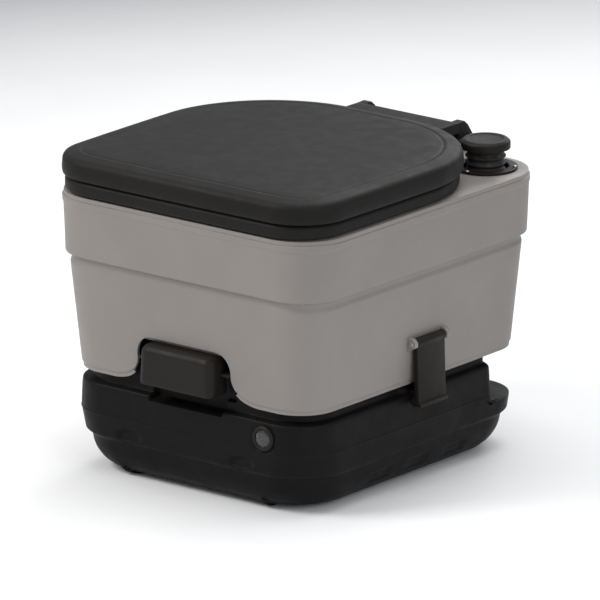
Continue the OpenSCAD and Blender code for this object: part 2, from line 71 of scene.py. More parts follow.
# ------------------------------------------------------------------ profile tools (millimetres)
def fillet(pts, radii, closed=False, step=0.7):
    """Polyline with its corners rounded: radii is one number or one per point."""
    pts = [np.array(p, float) for p in pts]
    n = len(pts)
    if not hasattr(radii, "__len__"):
        radii = [radii] * n
    out = []
    for i, p in enumerate(pts):
        if not closed and i in (0, n - 1) or radii[i] <= 0:
            out.append(p)
            continue
        a, b = pts[(i - 1) % n], pts[(i + 1) % n]
        u, v = a - p, b - p
        lu, lv = np.linalg.norm(u), np.linalg.norm(v)
        u, v = u / lu, v / lv
        cosw = float(np.clip(np.dot(u, v), -1, 1))
        half = math.acos(cosw) / 2
        if half > math.pi / 2 - 0.02:
            out.append(p)
            continue
        t = min(radii[i] / math.tan(half), lu * 0.49, lv * 0.49)
        r = t * math.tan(half)
        c = p + (u + v) / np.linalg.norm(u + v) * (r / math.sin(half))
        s, e = p + u * t, p + v * t
        a0 = math.atan2(*(s - c)[::-1])
        a1 = math.atan2(*(e - c)[::-1])
        da = (a1 - a0 + math.pi) % (2 * math.pi) - math.pi
        k = max(2, int(abs(da) * r / step) + 1)
        k = min(max(k, int(abs(da) / 0.22) + 1), 24)
        for j in range(k + 1):
            w = a0 + da * j / k
            out.append(c + r * np.array([math.cos(w), math.sin(w)]))
    return np.array(out)


def dense(poly, step, closed=False):
    """Polyline with no stretch longer than step."""
    out = []
    n = len(poly)
    last = n if closed else n - 1
    for i in range(last):
        a, b = poly[i], poly[(i + 1) % n]
        k = max(1, int(math.ceil(np.linalg.norm(b - a) / step)))
        for j in range(k):
            out.append(a + (b - a) * j / k)
    if not closed:
        out.append(poly[-1])
    return np.array(out)


def samples(lo, hi, breaks=(), coarse=5.0, fine=0.7, zone=3.5):
    """Positions from lo to hi, close together near each break, with a sample on each break."""
    keys = sorted(set([lo, hi] + [b for b in breaks if lo < b < hi]))
    out = [lo]
    for a, b in zip(keys[:-1], keys[1:]):
        x, seg = a, []
        while True:
            dm = min([abs(x - k) for k in breaks] or [1e9])
            x += fine if dm < zone else min(coarse, fine + (dm - zone) * 0.45)
            if x >= b - fine * 0.5:
                break
            seg.append(x)
        out += seg + [b]
    return np.array(out)


def smooth(a, b, x):
    t = np.clip((np.asarray(x, float) - a) / (b - a), 0, 1)
    return t * t * (3 - 2 * t)


def rrect(x, y, cx, cy, hx, hy, r):
    """Signed distance to a rounded rectangle, negative inside."""
    qx = np.abs(x - cx) - (hx - r)
    qy = np.abs(y - cy) - (hy - r)
    return np.hypot(np.maximum(qx, 0), np.maximum(qy, 0)) + np.minimum(np.maximum(qx, qy), 0) - r


class Plan:
    """Where every ring of a swept shell is sampled: absolute places on the four sides, then nc points a corner. Rings run anticlockwise seen from above, from the front's left end."""

    def __init__(self, front, right, back, left, nc=22):
        self.front, self.right, self.back, self.left, self.nc = map(np.asarray, (front, right, back, left, nc))
        self.nc = int(nc)
        f, r, b, l = len(front), len(right), len(back), len(left)
        self.side = np.array([0] * f + [4] * self.nc + [1] * r + [5] * self.nc + [2] * b + [6] * self.nc + [3] * l + [7] * self.nc)
        self.n = len(self.side)

    def ring(self, w, d, yc, rf, rb, bx=0.0, by=0.0):
        hw, hd = w / 2, d / 2
        y0, y1 = yc - hd, yc + hd

        def corner(a, cx, cy, r, a0, b):
            t = np.linspace(0, math.pi / 2, 33) + a0
            poly = np.vstack([[a], np.c_[cx + r * np.cos(t), cy + r * np.sin(t)], [b]])
            s = np.r_[0, np.cumsum(np.hypot(*np.diff(poly, axis=0).T))]
            q = np.linspace(0, s[-1], self.nc + 2)[1:-1]
            return np.c_[np.interp(q, s, poly[:, 0]), np.interp(q, s, poly[:, 1])]

        F = np.c_[self.front, np.full(len(self.front), y0)]
        R = np.c_[np.full(len(self.right), hw), self.right]
        B = np.c_[self.back, np.full(len(self.back), y1)]
        L = np.c_[np.full(len(self.left), -hw), self.left]
        p = np.vstack([
            F, corner(F[-1], hw - rf, y0 + rf, rf, -math.pi / 2, R[0]),
            R, corner(R[-1], hw - rb, y1 - rb, rb, 0, B[0]),
            B, corner(B[-1], -hw + rb, y1 - rb, rb, math.pi / 2, L[0]),
            L, corner(L[-1], -hw + rf, y0 + rf, rf, math.pi, F[0])])
        if bx or by:
            u, v = p[:, 0] / hw, (p[:, 1] - yc) / hd
            p = np.c_[p[:, 0] + u * bx * (1 - v * v), p[:, 1] + v * by * (1 - u * u)]
        return p


def even(n_side, X, Yf, Yb, Xb=None, nc=20):
    """A plan with evenly spaced stations."""
    Xb = X if Xb is None else Xb
    return Plan(np.linspace(-X, X, n_side), np.linspace(Yf, Yb, n_side), np.linspace(Xb, -Xb, n_side), np.linspace(Yb, Yf, n_side), nc)


def normals2(p):
    """Outward normals of a closed ring."""
    t = np.roll(p, -1, 0) - np.roll(p, 1, 0)
    n = np.c_[t[:, 1], -t[:, 0]]
    return n / np.maximum(np.linalg.norm(n, axis=1, keepdims=True), 1e-9)


# ------------------------------------------------------------------ mesh makers
def make(name, verts, faces, body, mat, slot=None, replaces=(), smooth_angle=35, attrs=None):
    me = bpy.data.meshes.new(name)
    v = np.asarray(verts, float) * MM
    me.from_pydata(v.tolist(), [], [list(f) for f in faces])
    me.validate()
    if attrs:
        for k, a in attrs.items():
            at = me.attributes.new(k, "FLOAT", "POINT")
            at.data.foreach_set("value", np.asarray(a, np.float32))
    ob = bpy.data.objects.new(name, me)
    scene.collection.objects.link(ob)
    finish_piece(ob, body, mat, replaces, smooth_angle)
    return ob


def fix_normals(me):
    bm = bmesh.new()
    bm.from_mesh(me)
    bmesh.ops.recalc_face_normals(bm, faces=bm.faces)
    bm.to_mesh(me)
    bm.free()


def finish_piece(ob, body, mat, replaces, smooth_angle=35):
    fix_normals(ob.data)
    ob.data.shade_smooth()
    if smooth_angle:
        ob.data.set_sharp_from_angle(angle=math.radians(smooth_angle))
    ob.data.materials.clear()
    ob.data.materials.append(mat)
    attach(ob, body)
    if replaces:
        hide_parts(*([replaces] if isinstance(replaces, str) else replaces))


def grid_faces(rows, cols, close_rows=False, start=0, hole=None):
    f = []
    rr = rows if close_rows else rows - 1
    for j in range(rr):
        j2 = (j + 1) % rows
        for i in range(cols):
            if hole is not None and hole[j, i]:
                continue
            i2 = (i + 1) % cols
            f.append((start + j * cols + i, start + j * cols + i2, start + j2 * cols + i2, start + j2 * cols + i))
    return f


def join(obs, name):
    """Joins mesh objects made before they ride on anything."""
    bm = bmesh.new()
    for o in obs:
        bm.from_mesh(o.data)
    me = bpy.data.meshes.new(name)
    bm.to_mesh(me)
    bm.free()
    for o in obs:
        bpy.data.objects.remove(o)
    ob = bpy.data.objects.new(name, me)
    scene.collection.objects.link(ob)
    return ob


def raw(name, verts, faces):
    me = bpy.data.meshes.new(name)
    me.from_pydata((np.asarray(verts, float) * MM).tolist(), [], [list(f) for f in faces])
    ob = bpy.data.objects.new(name, me)
    scene.collection.objects.link(ob)
    fix_normals(me)
    return ob


def applied(ob):
    """The object with its modifiers made real."""
    dg = bpy.context.evaluated_depsgraph_get()
    dg.update()
    me = bpy.data.meshes.new_from_object(ob.evaluated_get(dg))
    old = ob.data
    ob.modifiers.clear()
    ob.data = me
    bpy.data.meshes.remove(old)
    return ob


def bevel(ob, width, segs=3, angle=35):
    m = ob.modifiers.new("b", "BEVEL")
    m.width = width * MM
    m.segments = segs
    m.limit_method = "ANGLE"
    m.angle_limit = math.radians(angle)
    m.miter_outer = "MITER_ARC"
    return applied(ob)


def cut(ob, *tools, op="DIFFERENCE"):
    for t in tools:
        m = ob.modifiers.new("c", "BOOLEAN")
        m.operation = op
        m.object = t
        m.solver = "EXACT"
        applied(ob)
        bpy.data.objects.remove(t)
    return ob


def lathe_raw(name, prof, origin=(0, 0, 0), axis="z", n=96, ripple=None):
    """Turned shape. prof holds (radius, height) from one end to the other: a radius of 0 closes it at the axis, and a profile that closes on itself makes a ring."""
    prof = np.asarray(prof, float)
    ring = np.hypot(*(prof[0] - prof[-1])) < 1e-6
    if ring:
        prof = prof[:-1]
    th = np.arange(n) / n * 2 * math.pi
    verts, rows = [], []
    for r, h in prof:
        if r < 1e-6:
            rows.append([len(verts)])
            verts.append((0, 0, h))
        else:
            rr = r + (ripple(th, r, h) if ripple else 0 * th)
            rows.append(list(range(len(verts), len(verts) + n)))
            verts += [(rr[i] * math.cos(th[i]), rr[i] * math.sin(th[i]), h) for i in range(n)]
    faces = []
    pairs = list(zip(rows[:-1], rows[1:])) + ([(rows[-1], rows[0])] if ring else [])
    for a, b in pairs:
        for i in range(n):
            k = (i + 1) % n
            if len(a) == 1 and len(b) == 1:
                continue
            if len(a) == 1:
                faces.append((a[0], b[k], b[i]))
            elif len(b) == 1:
                faces.append((a[i], a[k], b[0]))
            else:
                faces.append((a[i], a[k], b[k], b[i]))
    v = np.array(verts)
    if axis == "x":
        v = np.c_[v[:, 2], v[:, 0], v[:, 1]]
    elif axis == "y":
        v = np.c_[v[:, 1], v[:, 2], v[:, 0]]
    return raw(name, v + np.array(origin, float), faces)


def put(ob, body, mat, replaces=(), smooth_angle=35):
    ob.name = ob.name
    finish_piece(ob, body, mat, replaces, smooth_angle)
    return ob


def rbox_raw(name, lo, hi, r, n=5, seg=6.0):
    """Box with every edge rounded to radius r."""
    lo, hi = np.array(lo, float), np.array(hi, float)
    c, h = (lo + hi) / 2, (hi - lo) / 2
    r = min(r, h.min() * 0.999)

    def axis_samples(H):
        a = np.linspace(0, 1, n + 1)
        edge = r * np.sin(a * math.pi / 2)
        k = max(1, int(2 * (H - r) / seg))
        mid = np.linspace(-(H - r), H - r, k + 1)
        return np.unique(np.round(np.r_[-(H - r) - edge, mid, (H - r) + edge], 6))

    verts, faces, index = [], [], {}

    def vid(p):
        key = tuple(np.round(p, 5))
        if key not in index:
            inner = np.clip(p, -(h - r), h - r)
            d = p - inner
            L = np.linalg.norm(d)
            # cube-surface offsets become a sphere's
            q = inner + d / L * r if L > 1e-9 else p
            index[key] = len(verts)
            verts.append(q + c)
        return index[key]

    for ax in range(3):
        u, v = (ax + 1) % 3, (ax + 2) % 3
        su, sv = axis_samples(h[u]), axis_samples(h[v])
        for sgn in (-1, 1):
            for i in range(len(su) - 1):
                for j in range(len(sv) - 1):
                    q = []
                    for a, b in ((i, j), (i + 1, j), (i + 1, j + 1), (i, j + 1)):
                        p = np.zeros(3)
                        p[ax], p[u], p[v] = sgn * h[ax], su[a], sv[b]
                        q.append(vid(p))
                    if len(set(q)) > 2:
                        faces.append(q if sgn > 0 else q[::-1])
    return raw(name, verts, faces)


def prism_raw(name, pts, a, b, axis="x", closed_r=0.0):
    """Flat outline pushed from a to b along an axis. pts are (y, z) for x, (x, z) for y, (x, y) for z."""
    pts = fillet(pts, closed_r, closed=True) if closed_r else np.array(pts, float)
    n = len(pts)
    v = []
    for t in (a, b):
        for p in pts:
            v.append({"x": (t, p[0], p[1]), "y": (p[0], t, p[1]), "z": (p[0], p[1], t)}[axis])
    f = [tuple(range(n))[::-1], tuple(range(n, 2 * n))] + [(i, (i + 1) % n, n + (i + 1) % n, n + i) for i in range(n)]
    return raw(name, v, f)


def soften(node, width, mat, segs=2, angle=35, name=None, smooth_angle=35):
    """A copy of a CAD node with its triangles merged to flat faces and its edges rounded."""
    src = frame["nodes"][node]
    me = src.data.copy()
    bm = bmesh.new()
    bm.from_mesh(me)
    bmesh.ops.remove_doubles(bm, verts=bm.verts, dist=2e-6)
    bmesh.ops.dissolve_limit(bm, angle_limit=math.radians(0.6), verts=bm.verts, edges=bm.edges)
    bm.to_mesh(me)
    bm.free()
    ob = bpy.data.objects.new(name or node + "_piece", me)
    scene.collection.objects.link(ob)
    for a in list(me.attributes):
        if a.name in ("custom_normal",):
            me.attributes.remove(a)
    body = src["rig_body"]
    if width > 0:
        bevel(ob, width, segs, angle)
    put(ob, body, mat, node, smooth_angle)
    return ob

def remeshed(node, voxel, rounds, mat, factor=0.5, smooth_angle=0, extra=None):
    """A copy of a CAD node made again as an even skin and relaxed, so that every edge is soft like a moulding's."""
    src = frame["nodes"][node]
    ob = bpy.data.objects.new(node + "_piece", src.data.copy())
    scene.collection.objects.link(ob)
    m = ob.modifiers.new("r", "REMESH")
    m.mode = "VOXEL"
    m.voxel_size = voxel * MM
    applied(ob)
    s = ob.modifiers.new("s", "SMOOTH")
    s.factor = factor
    s.iterations = rounds
    applied(ob)
    if extra:
        extra(ob)
    put(ob, src["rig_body"], mat, node, smooth_angle)
    return ob


# ------------------------------------------------------------------ materials
def lin(r, g, b):
    f = lambda c: (c / 255 / 12.92) if c <= 10.3 else ((c / 255 + 0.055) / 1.055) ** 2.4
    return (f(r), f(g), f(b))


class NT:
    def __init__(self, name):
        self.m = bpy.data.materials.new(name)
        self.m.use_nodes = True
        self.t = self.m.node_tree
        self.t.nodes.clear()
        self.out = self.t.nodes.new("ShaderNodeOutputMaterial")
        self.b = self.t.nodes.new("ShaderNodeBsdfPrincipled")
        self.t.links.new(self.b.outputs[0], self.out.inputs[0])
        self.tc = self.t.nodes.new("ShaderNodeTexCoord")
        self.obj = self.tc.outputs["Object"]

    def n(self, kind, **props):
        x = self.t.nodes.new(kind)
        for k, v in props.items():
            setattr(x, k, v)
        return x

    def link(self, a, b):
        self.t.links.new(a, b)

    def mapping(self, scale=(1, 1, 1), rot=(0, 0, 0), loc=(0, 0, 0)):
        x = self.n("ShaderNodeMapping")
        x.inputs["Scale"].default_value = scale
        x.inputs["Rotation"].default_value = rot
        x.inputs["Location"].default_value = loc
        self.link(self.obj, x.inputs["Vector"])
        return x.outputs[0]

    def noise(self, scale, detail=2, rough=0.5, vec=None, distortion=0.0):
        x = self.n("ShaderNodeTexNoise")
        x.inputs["Scale"].default_value = scale
        x.inputs["Detail"].default_value = detail
        x.inputs["Roughness"].default_value = rough
        x.inputs["Distortion"].default_value = distortion
        self.link(vec or self.obj, x.inputs["Vector"])
        return x.outputs["Fac"]

    def voronoi(self, scale, feature="F1", vec=None, rand=1.0, smooth=None):
        x = self.n("ShaderNodeTexVoronoi", feature=feature)
        x.inputs["Scale"].default_value = scale
        x.inputs["Randomness"].default_value = rand
        if smooth is not None and "Smoothness" in x.inputs:
            x.inputs["Smoothness"].default_value = smooth
        self.link(vec or self.obj, x.inputs["Vector"])
        return x.outputs["Distance"]

    def ramp(self, v, a, b, lo=0.0, hi=1.0, kind="SMOOTHSTEP"):
        x = self.n("ShaderNodeMapRange", interpolation_type=kind)
        x.inputs["From Min"].default_value = a
        x.inputs["From Max"].default_value = b
        x.inputs["To Min"].default_value = lo
        x.inputs["To Max"].default_value = hi
        self.link(v, x.inputs["Value"])
        return x.outputs[0]

    def math(self, op, a, b=None, clamp=False):
        x = self.n("ShaderNodeMath", operation=op)
        x.use_clamp = clamp
        for i, v in enumerate((a, b)):
            if v is None:
                continue
            if isinstance(v, (int, float)):
                x.inputs[i].default_value = v
            else:
                self.link(v, x.inputs[i])
        return x.outputs[0]

    def mix(self, fac, a, b):
        x = self.n("ShaderNodeMix", data_type="RGBA")
        if isinstance(fac, (int, float)):
            x.inputs[0].default_value = fac
        else:
            self.link(fac, x.inputs[0])
        for i, v in ((6, a), (7, b)):
            if isinstance(v, tuple):
                x.inputs[i].default_value = (*v, 1) if len(v) == 3 else v
            else:
                self.link(v, x.inputs[i])
        return x.outputs[2]

    def attr(self, name):
        x = self.n("ShaderNodeAttribute", attribute_name=name)
        return x.outputs["Fac"]

    def bump(self, height, dist, strength=1.0, normal=None):
        x = self.n("ShaderNodeBump")
        x.inputs["Distance"].default_value = dist
        x.inputs["Strength"].default_value = strength
        self.link(height, x.inputs["Height"])
        if normal is not None:
            self.link(normal, x.inputs["Normal"])
        return x.outputs[0]

    def streaks(self, along, thin, thr, rots):
        """Fine straight scratches in a few directions."""
        tot = None
        for r in rots:
            v = self.mapping(scale=(along, thin, thin), rot=r)
            s = self.ramp(self.noise(1.0, 1, 0.4, vec=v), thr, thr + 0.05)
            tot = s if tot is None else self.math("MAXIMUM", tot, s)
        return tot


def scaled(c, k):
    return tuple(max(0.0, min(1.0, x * k)) for x in c)


def plastic(name, color, rough=0.5, var=0.06, speck=0.05, grain="fine", grain_scale=1300, grain_depth=0.06,
            scuff=0.25, light=None, wear=0.0, dust=0.12, wave=0.0, spec=0.5, coat=0.0, dust_color=(0.55, 0.52, 0.48)):
    k = NT(name)
    light = light or tuple(min(1, c * 1.7 + 0.03) for c in color)
    big = k.noise(11, 3, 0.55)
    mid = k.noise(60, 3, 0.6)
    c = k.mix(k.ramp(big, 0.3, 0.7), scaled(color, 1 - var), scaled(color, 1 + var))
    c = k.mix(k.ramp(mid, 0.35, 0.75, 0, 0.6 * var * 4), c, scaled(color, 1 + var))
    sp = k.noise(1700, 2, 0.7)
    c = k.mix(k.ramp(sp, 0.52, 0.72, 0, speck * 4), c, light)
    # scratches and rubbed patches
    st = k.streaks(26, 900, 0.70, [(0.2, 0.3, 0.5), (1.1, 0.2, 2.0), (0.4, 1.3, 1.2)])
    patch = k.ramp(k.noise(17, 2, 0.5, distortion=0.4), 0.52, 0.72)
    sc = k.math("MULTIPLY", k.math("MULTIPLY", st, patch), scuff)
    c = k.mix(sc, c, light)
    # a little settled dust on faces that look up
    geo = k.n("ShaderNodeNewGeometry")
    sep = k.n("ShaderNodeSeparateXYZ")
    k.link(geo.outputs["Normal"], sep.inputs[0])
    up = k.ramp(sep.outputs[2], 0.35, 1.0)
    du = k.math("MULTIPLY", k.math("MULTIPLY", up, k.ramp(k.noise(45, 4, 0.65), 0.42, 0.75)), dust)
    c = k.mix(du, c, dust_color)
    if wear:
        w = k.math("MULTIPLY", k.attr("wear"), k.ramp(k.noise(520, 4, 0.7), 0.42, 0.75))
        w = k.math("MULTIPLY", w, k.ramp(k.noise(38, 3, 0.6), 0.38, 0.66, 0.25, 1.0))
        c = k.mix(k.math("MULTIPLY", w, wear), c, light)
    k.link(c, k.b.inputs["Base Color"])
    r = k.ramp(mid, 0.3, 0.7, rough - 0.05, rough + 0.05)
    r = k.math("ADD", r, k.math("MULTIPLY", sc, 0.25))
    r = k.math("ADD", r, k.math("MULTIPLY", du, 0.8), clamp=True)
    k.link(r, k.b.inputs["Roughness"])
    k.b.inputs["Specular IOR Level"].default_value = spec
    if coat:
        k.b.inputs["Coat Weight"].default_value = coat
        k.b.inputs["Coat Roughness"].default_value = 0.12
    n = None
    if wave:
        n = k.bump(k.noise(13, 2, 0.5), 0.004 * wave, 0.5, n)
        n = k.bump(k.noise(55, 2, 0.5), 0.0009 * wave, 0.4, n)
    if grain == "leather":
        v = k.mapping()
        wob = k.noise(grain_scale * 0.6, 2, 0.5)
        d = k.voronoi(grain_scale, "SMOOTH_F1", smooth=0.35)
        d2 = k.voronoi(grain_scale * 2.3, "F1")
        h = k.math("ADD", k.math("MULTIPLY", d, 1.0), k.math("ADD", k.math("MULTIPLY", d2, 0.35), k.math("MULTIPLY", wob, 0.5)))
        n = k.bump(h, grain_depth * MM * 3, 0.7, n)
    elif grain == "fine":
        h = k.math("ADD", k.noise(grain_scale, 3, 0.65), k.math("MULTIPLY", k.voronoi(grain_scale * 1.2, "SMOOTH_F1", smooth=0.5), 0.6))
        n = k.bump(h, grain_depth * MM * 3, 0.6, n)
    else:
        n = k.bump(k.noise(420, 2, 0.5), 0.02 * MM * 3, 0.35, n)
    k.link(n, k.b.inputs["Normal"])
    return k.m


def steel_mat(name="zinc_steel"):
    k = NT(name)
    c = k.mix(k.ramp(k.noise(320, 3, 0.6), 0.35, 0.7), (0.42, 0.43, 0.45), (0.60, 0.60, 0.60))
    k.link(c, k.b.inputs["Base Color"])
    k.b.inputs["Metallic"].default_value = 1.0
    r = k.ramp(k.noise(900, 2, 0.6), 0.3, 0.7, 0.24, 0.42)
    k.link(r, k.b.inputs["Roughness"])
    v = k.mapping(scale=(90, 2400, 2400))
    k.link(k.bump(k.noise(1, 2, 0.6, vec=v), 0.00003, 0.5), k.b.inputs["Normal"])
    return k.m


def clear_mat(name, tint=(0.86, 0.90, 0.92)):
    k = NT(name)
    c = k.mix(k.ramp(k.noise(40, 3, 0.6), 0.3, 0.7), scaled(tint, 0.93), tint)
    k.link(c, k.b.inputs["Base Color"])
    k.b.inputs["Transmission Weight"].default_value = 0.9
    k.b.inputs["IOR"].default_value = 1.49
    r = k.ramp(k.noise(260, 3, 0.6), 0.4, 0.8, 0.12, 0.34)
    k.link(r, k.b.inputs["Roughness"])
    k.link(k.bump(k.noise(700, 2, 0.5), 0.00003, 0.4), k.b.inputs["Normal"])
    return k.m


def rubber_mat(name, color=(0.018, 0.018, 0.018)):
    k = NT(name)
    c = k.mix(k.ramp(k.noise(70, 4, 0.6), 0.35, 0.7), scaled(color, 0.8), scaled(color, 1.5))
    geo = k.n("ShaderNodeNewGeometry")
    sep = k.n("ShaderNodeSeparateXYZ")
    k.link(geo.outputs["Normal"], sep.inputs[0])
    du = k.math("MULTIPLY", k.math("MULTIPLY", k.ramp(sep.outputs[2], 0.2, 1.0), k.ramp(k.noise(120, 4, 0.65), 0.4, 0.75)), 0.14)
    c = k.mix(du, c, (0.45, 0.43, 0.40))
    k.link(c, k.b.inputs["Base Color"])
    k.link(k.ramp(k.noise(150, 3, 0.6), 0.3, 0.7, 0.62, 0.82), k.b.inputs["Roughness"])
    k.b.inputs["Specular IOR Level"].default_value = 0.4
    k.link(k.bump(k.noise(1500, 3, 0.6), 0.00012, 0.5), k.b.inputs["Normal"])
    return k.m


SHELL = plastic("light_shell", (0.232, 0.213, 0.197), rough=0.52, var=0.03, speck=0.015, grain="fine", grain_scale=1500, grain_depth=0.03, scuff=0.10,
                light=(0.36, 0.34, 0.32), wear=0.14, dust=0.04, wave=0.25, spec=0.33, dust_color=(0.36, 0.34, 0.31))
BOWL = plastic("bowl_plastic", (0.46, 0.45, 0.43), rough=0.24, var=0.02, speck=0.01, grain="none", scuff=0.05, light=(0.62, 0.61, 0.59), dust=0.0, wave=0.3, spec=0.5, coat=0.15)
LID = plastic("dark_lid", (0.0125, 0.0117, 0.0108), rough=0.54, var=0.07, speck=0.03, grain="leather", grain_scale=720, grain_depth=0.04, scuff=0.22,
              light=(0.040, 0.038, 0.035), wear=0.22, dust=0.02, wave=0.2, spec=0.11, dust_color=(0.16, 0.155, 0.145))
TRIM = plastic("dark_trim", (0.0125, 0.0104, 0.0088), rough=0.48, var=0.07, speck=0.03, grain="fine", grain_scale=1400, grain_depth=0.03, scuff=0.3,
               light=(0.040, 0.036, 0.032), wear=0.22, dust=0.02, spec=0.15, dust_color=(0.16, 0.155, 0.145))
TANK = plastic("black_tank", (0.0050, 0.0047, 0.0044), rough=0.50, var=0.10, speck=0.04, grain="fine", grain_scale=900, grain_depth=0.045, scuff=0.3,
               light=(0.022, 0.021, 0.020), wear=0.22, dust=0.025, wave=0.8, spec=0.10, dust_color=(0.11, 0.105, 0.10))
NATURAL = plastic("natural_plastic", (0.52, 0.50, 0.46), rough=0.38, var=0.04, speck=0.02, grain="none", scuff=0.1, light=(0.68, 0.66, 0.62), dust=0.03)
RED = plastic("signal_red", (0.30, 0.030, 0.018), rough=0.38, var=0.05, speck=0.03, grain="none", scuff=0.2, light=(0.5, 0.2, 0.16), dust=0.03)
RUBBER = rubber_mat("rubber")
STEEL = steel_mat()
CLEAR = clear_mat("clear_window", (0.22, 0.23, 0.24))

# ------------------------------------------------------------------ camera, light, floor
def setup_stage():
    floor = bpy.data.meshes.new("floor")
    # floor and backdrop in one curved sheet, seen from every side
    prof = fillet([(0, 0), (4.2, 0), (7.0, 0.5)], [0, 2.0, 0], step=0.1)
    n = 96
    v = [(0, 0, 0)]
    for r, z in prof[1:]:
        for i in range(n):
            a = 2 * math.pi * i / n
            v.append((r * math.cos(a), r * math.sin(a), z))
    f = [(0, 1 + i, 1 + (i + 1) % n) for i in range(n)]
    for j in range(len(prof) - 2):
        for i in range(n):
            a = 1 + j * n + i
            b = 1 + j * n + (i + 1) % n
            f.append((a, b, b + n, a + n))
    floor.from_pydata(v, [], f)
    floor.shade_smooth()
    ob = bpy.data.objects.new("floor", floor)
    scene.collection.objects.link(ob)
    k = NT("floor_paper")
    c = k.mix(k.ramp(k.noise(3.0, 3, 0.5), 0.3, 0.7), (0.80, 0.80, 0.80), (0.84, 0.84, 0.84))
    k.link(c, k.b.inputs["Base Color"])
    k.b.inputs["Roughness"].default_value = 0.85
    k.b.inputs["Specular IOR Level"].default_value = 0.2
    ob.data.materials.append(k.m)

    def area(name, loc, target, size, power, color=(1, 1, 1), size_y=None):
        li = bpy.data.lights.new(name, "AREA")
        li.shape = "RECTANGLE"
        li.size = size
        li.size_y = size_y or size
        li.energy = power
        li.color = color
        o = bpy.data.objects.new(name, li)
        o.location = loc
        o.rotation_euler = (Vector(target) - Vector(loc)).to_track_quat("-Z", "Y").to_euler()
        scene.collection.objects.link(o)

    t = (0, 0, 0.16)
    area("key", (-1.5, -1.9, 2.3), t, 1.3, 62, (1.0, 0.985, 0.965))
    area("fill", (2.6, -1.0, 1.3), t, 1.8, 24, (0.96, 0.98, 1.0))
    area("top", (0.1, 0.5, 2.6), t, 1.9, 40)
    area("back", (-0.6, 2.4, 1.5), t, 1.4, 20)
    w = bpy.data.worlds.new("studio")
    w.use_nodes = True
    bg = w.node_tree.nodes["Background"]
    bg.inputs[0].default_value = (0.93, 0.95, 1.0, 1)
    bg.inputs[1].default_value = 0.50
    scene.world = w
    scene.view_settings.view_transform = "Standard"
    scene.view_settings.look = "None"


AZ, EL, DIST = 38.6, 16.3, 11.0
def setup_camera():
    cam = bpy.data.cameras.new("camera")
    cam.sensor_width = 36
    cam.lens = 660
    ob = bpy.data.objects.new("camera", cam)
    a, e = math.radians(AZ), math.radians(EL)
    # azimuth 0 looks along +Y, from in front
    d = Vector((math.sin(a) * math.cos(e), -math.cos(a) * math.cos(e), math.sin(e)))
    target = Vector((0.0, 0.0, 0.160))
    ob.location = target + d * DIST
    ob.rotation_euler = (target - ob.location).to_track_quat("-Z", "Y").to_euler()
    scene.collection.objects.link(ob)
    scene.camera = ob


setup_stage()
setup_camera()

# ------------------------------------------------------------------ numbers shared by the shells (millimetres, from part.scad)
LW, DEPTH, TH = 345.0, 400.0, 330.0
YC = -5.0
YH, ZH = 193.5, 296.0
PX, PY = 124.0, 142.0
SX, SY, SZ = -108.0, 147.0, 81.0
LX, LZ, LY = 100.0, 78.0, -182.6


def wave3(p, amp, k=0.021, ph=0.0):
    """Slow unevenness of a moulded wall."""
    x, y, z = p[..., 0], p[..., 1], p[..., 2]
    return amp * (np.sin(k * x * 1.3 + 0.7 * k * y + ph) * np.sin(k * z * 2.1 + 1.3 + ph) + 0.6 * np.sin(k * 2.3 * y - k * x + 2.0 * ph + 0.4) * np.cos(k * z * 1.7 - 0.3))


def stack(name, P, cap0=None, cap1=None, hole=None):
    """Raw mesh from rings P[row, i, xyz]. cap0 and cap1 are centre points that close the first and last ring."""
    rows, n = P.shape[:2]
    verts = P.reshape(-1, 3).tolist()
    faces = grid_faces(rows, n, hole=hole)
    if cap0 is not None:
        c = len(verts)
        verts.append(tuple(cap0))
        faces += [(c, (i + 1) % n, i) for i in range(n)]
    if cap1 is not None:
        c = len(verts)
        verts.append(tuple(cap1))
        b = (rows - 1) * n
        faces += [(c, b + i, b + (i + 1) % n) for i in range(n)]
    me = bpy.data.meshes.new(name)
    me.from_pydata((np.array(verts) * MM).tolist(), [], faces)
    ob = bpy.data.objects.new(name, me)
    scene.collection.objects.link(ob)
    if hole is not None:
        bm = bmesh.new()
        bm.from_mesh(me)
        bmesh.ops.delete(bm, geom=[v for v in bm.verts if not v.link_faces], context="VERTS")
        bm.to_mesh(me)
        bm.free()
    fix_normals(me)
    return ob


def solidify(ob, t):
    m = ob.modifiers.new("s", "SOLIDIFY")
    m.thickness = t * MM
    m.offset = -1
    m.use_even_offset = False
    m.use_rim = True
    return applied(ob)

# ------------------------------------------------------------------ lid
def scaled_rings(ring, centre, ks, zf):
    """Rings shrunk towards a centre, with a height from zf(k)."""
    out = []
    for k in ks:
        p = centre + (ring - centre) * k
        out.append(np.c_[p, np.full(len(p), zf(k))])
    return out


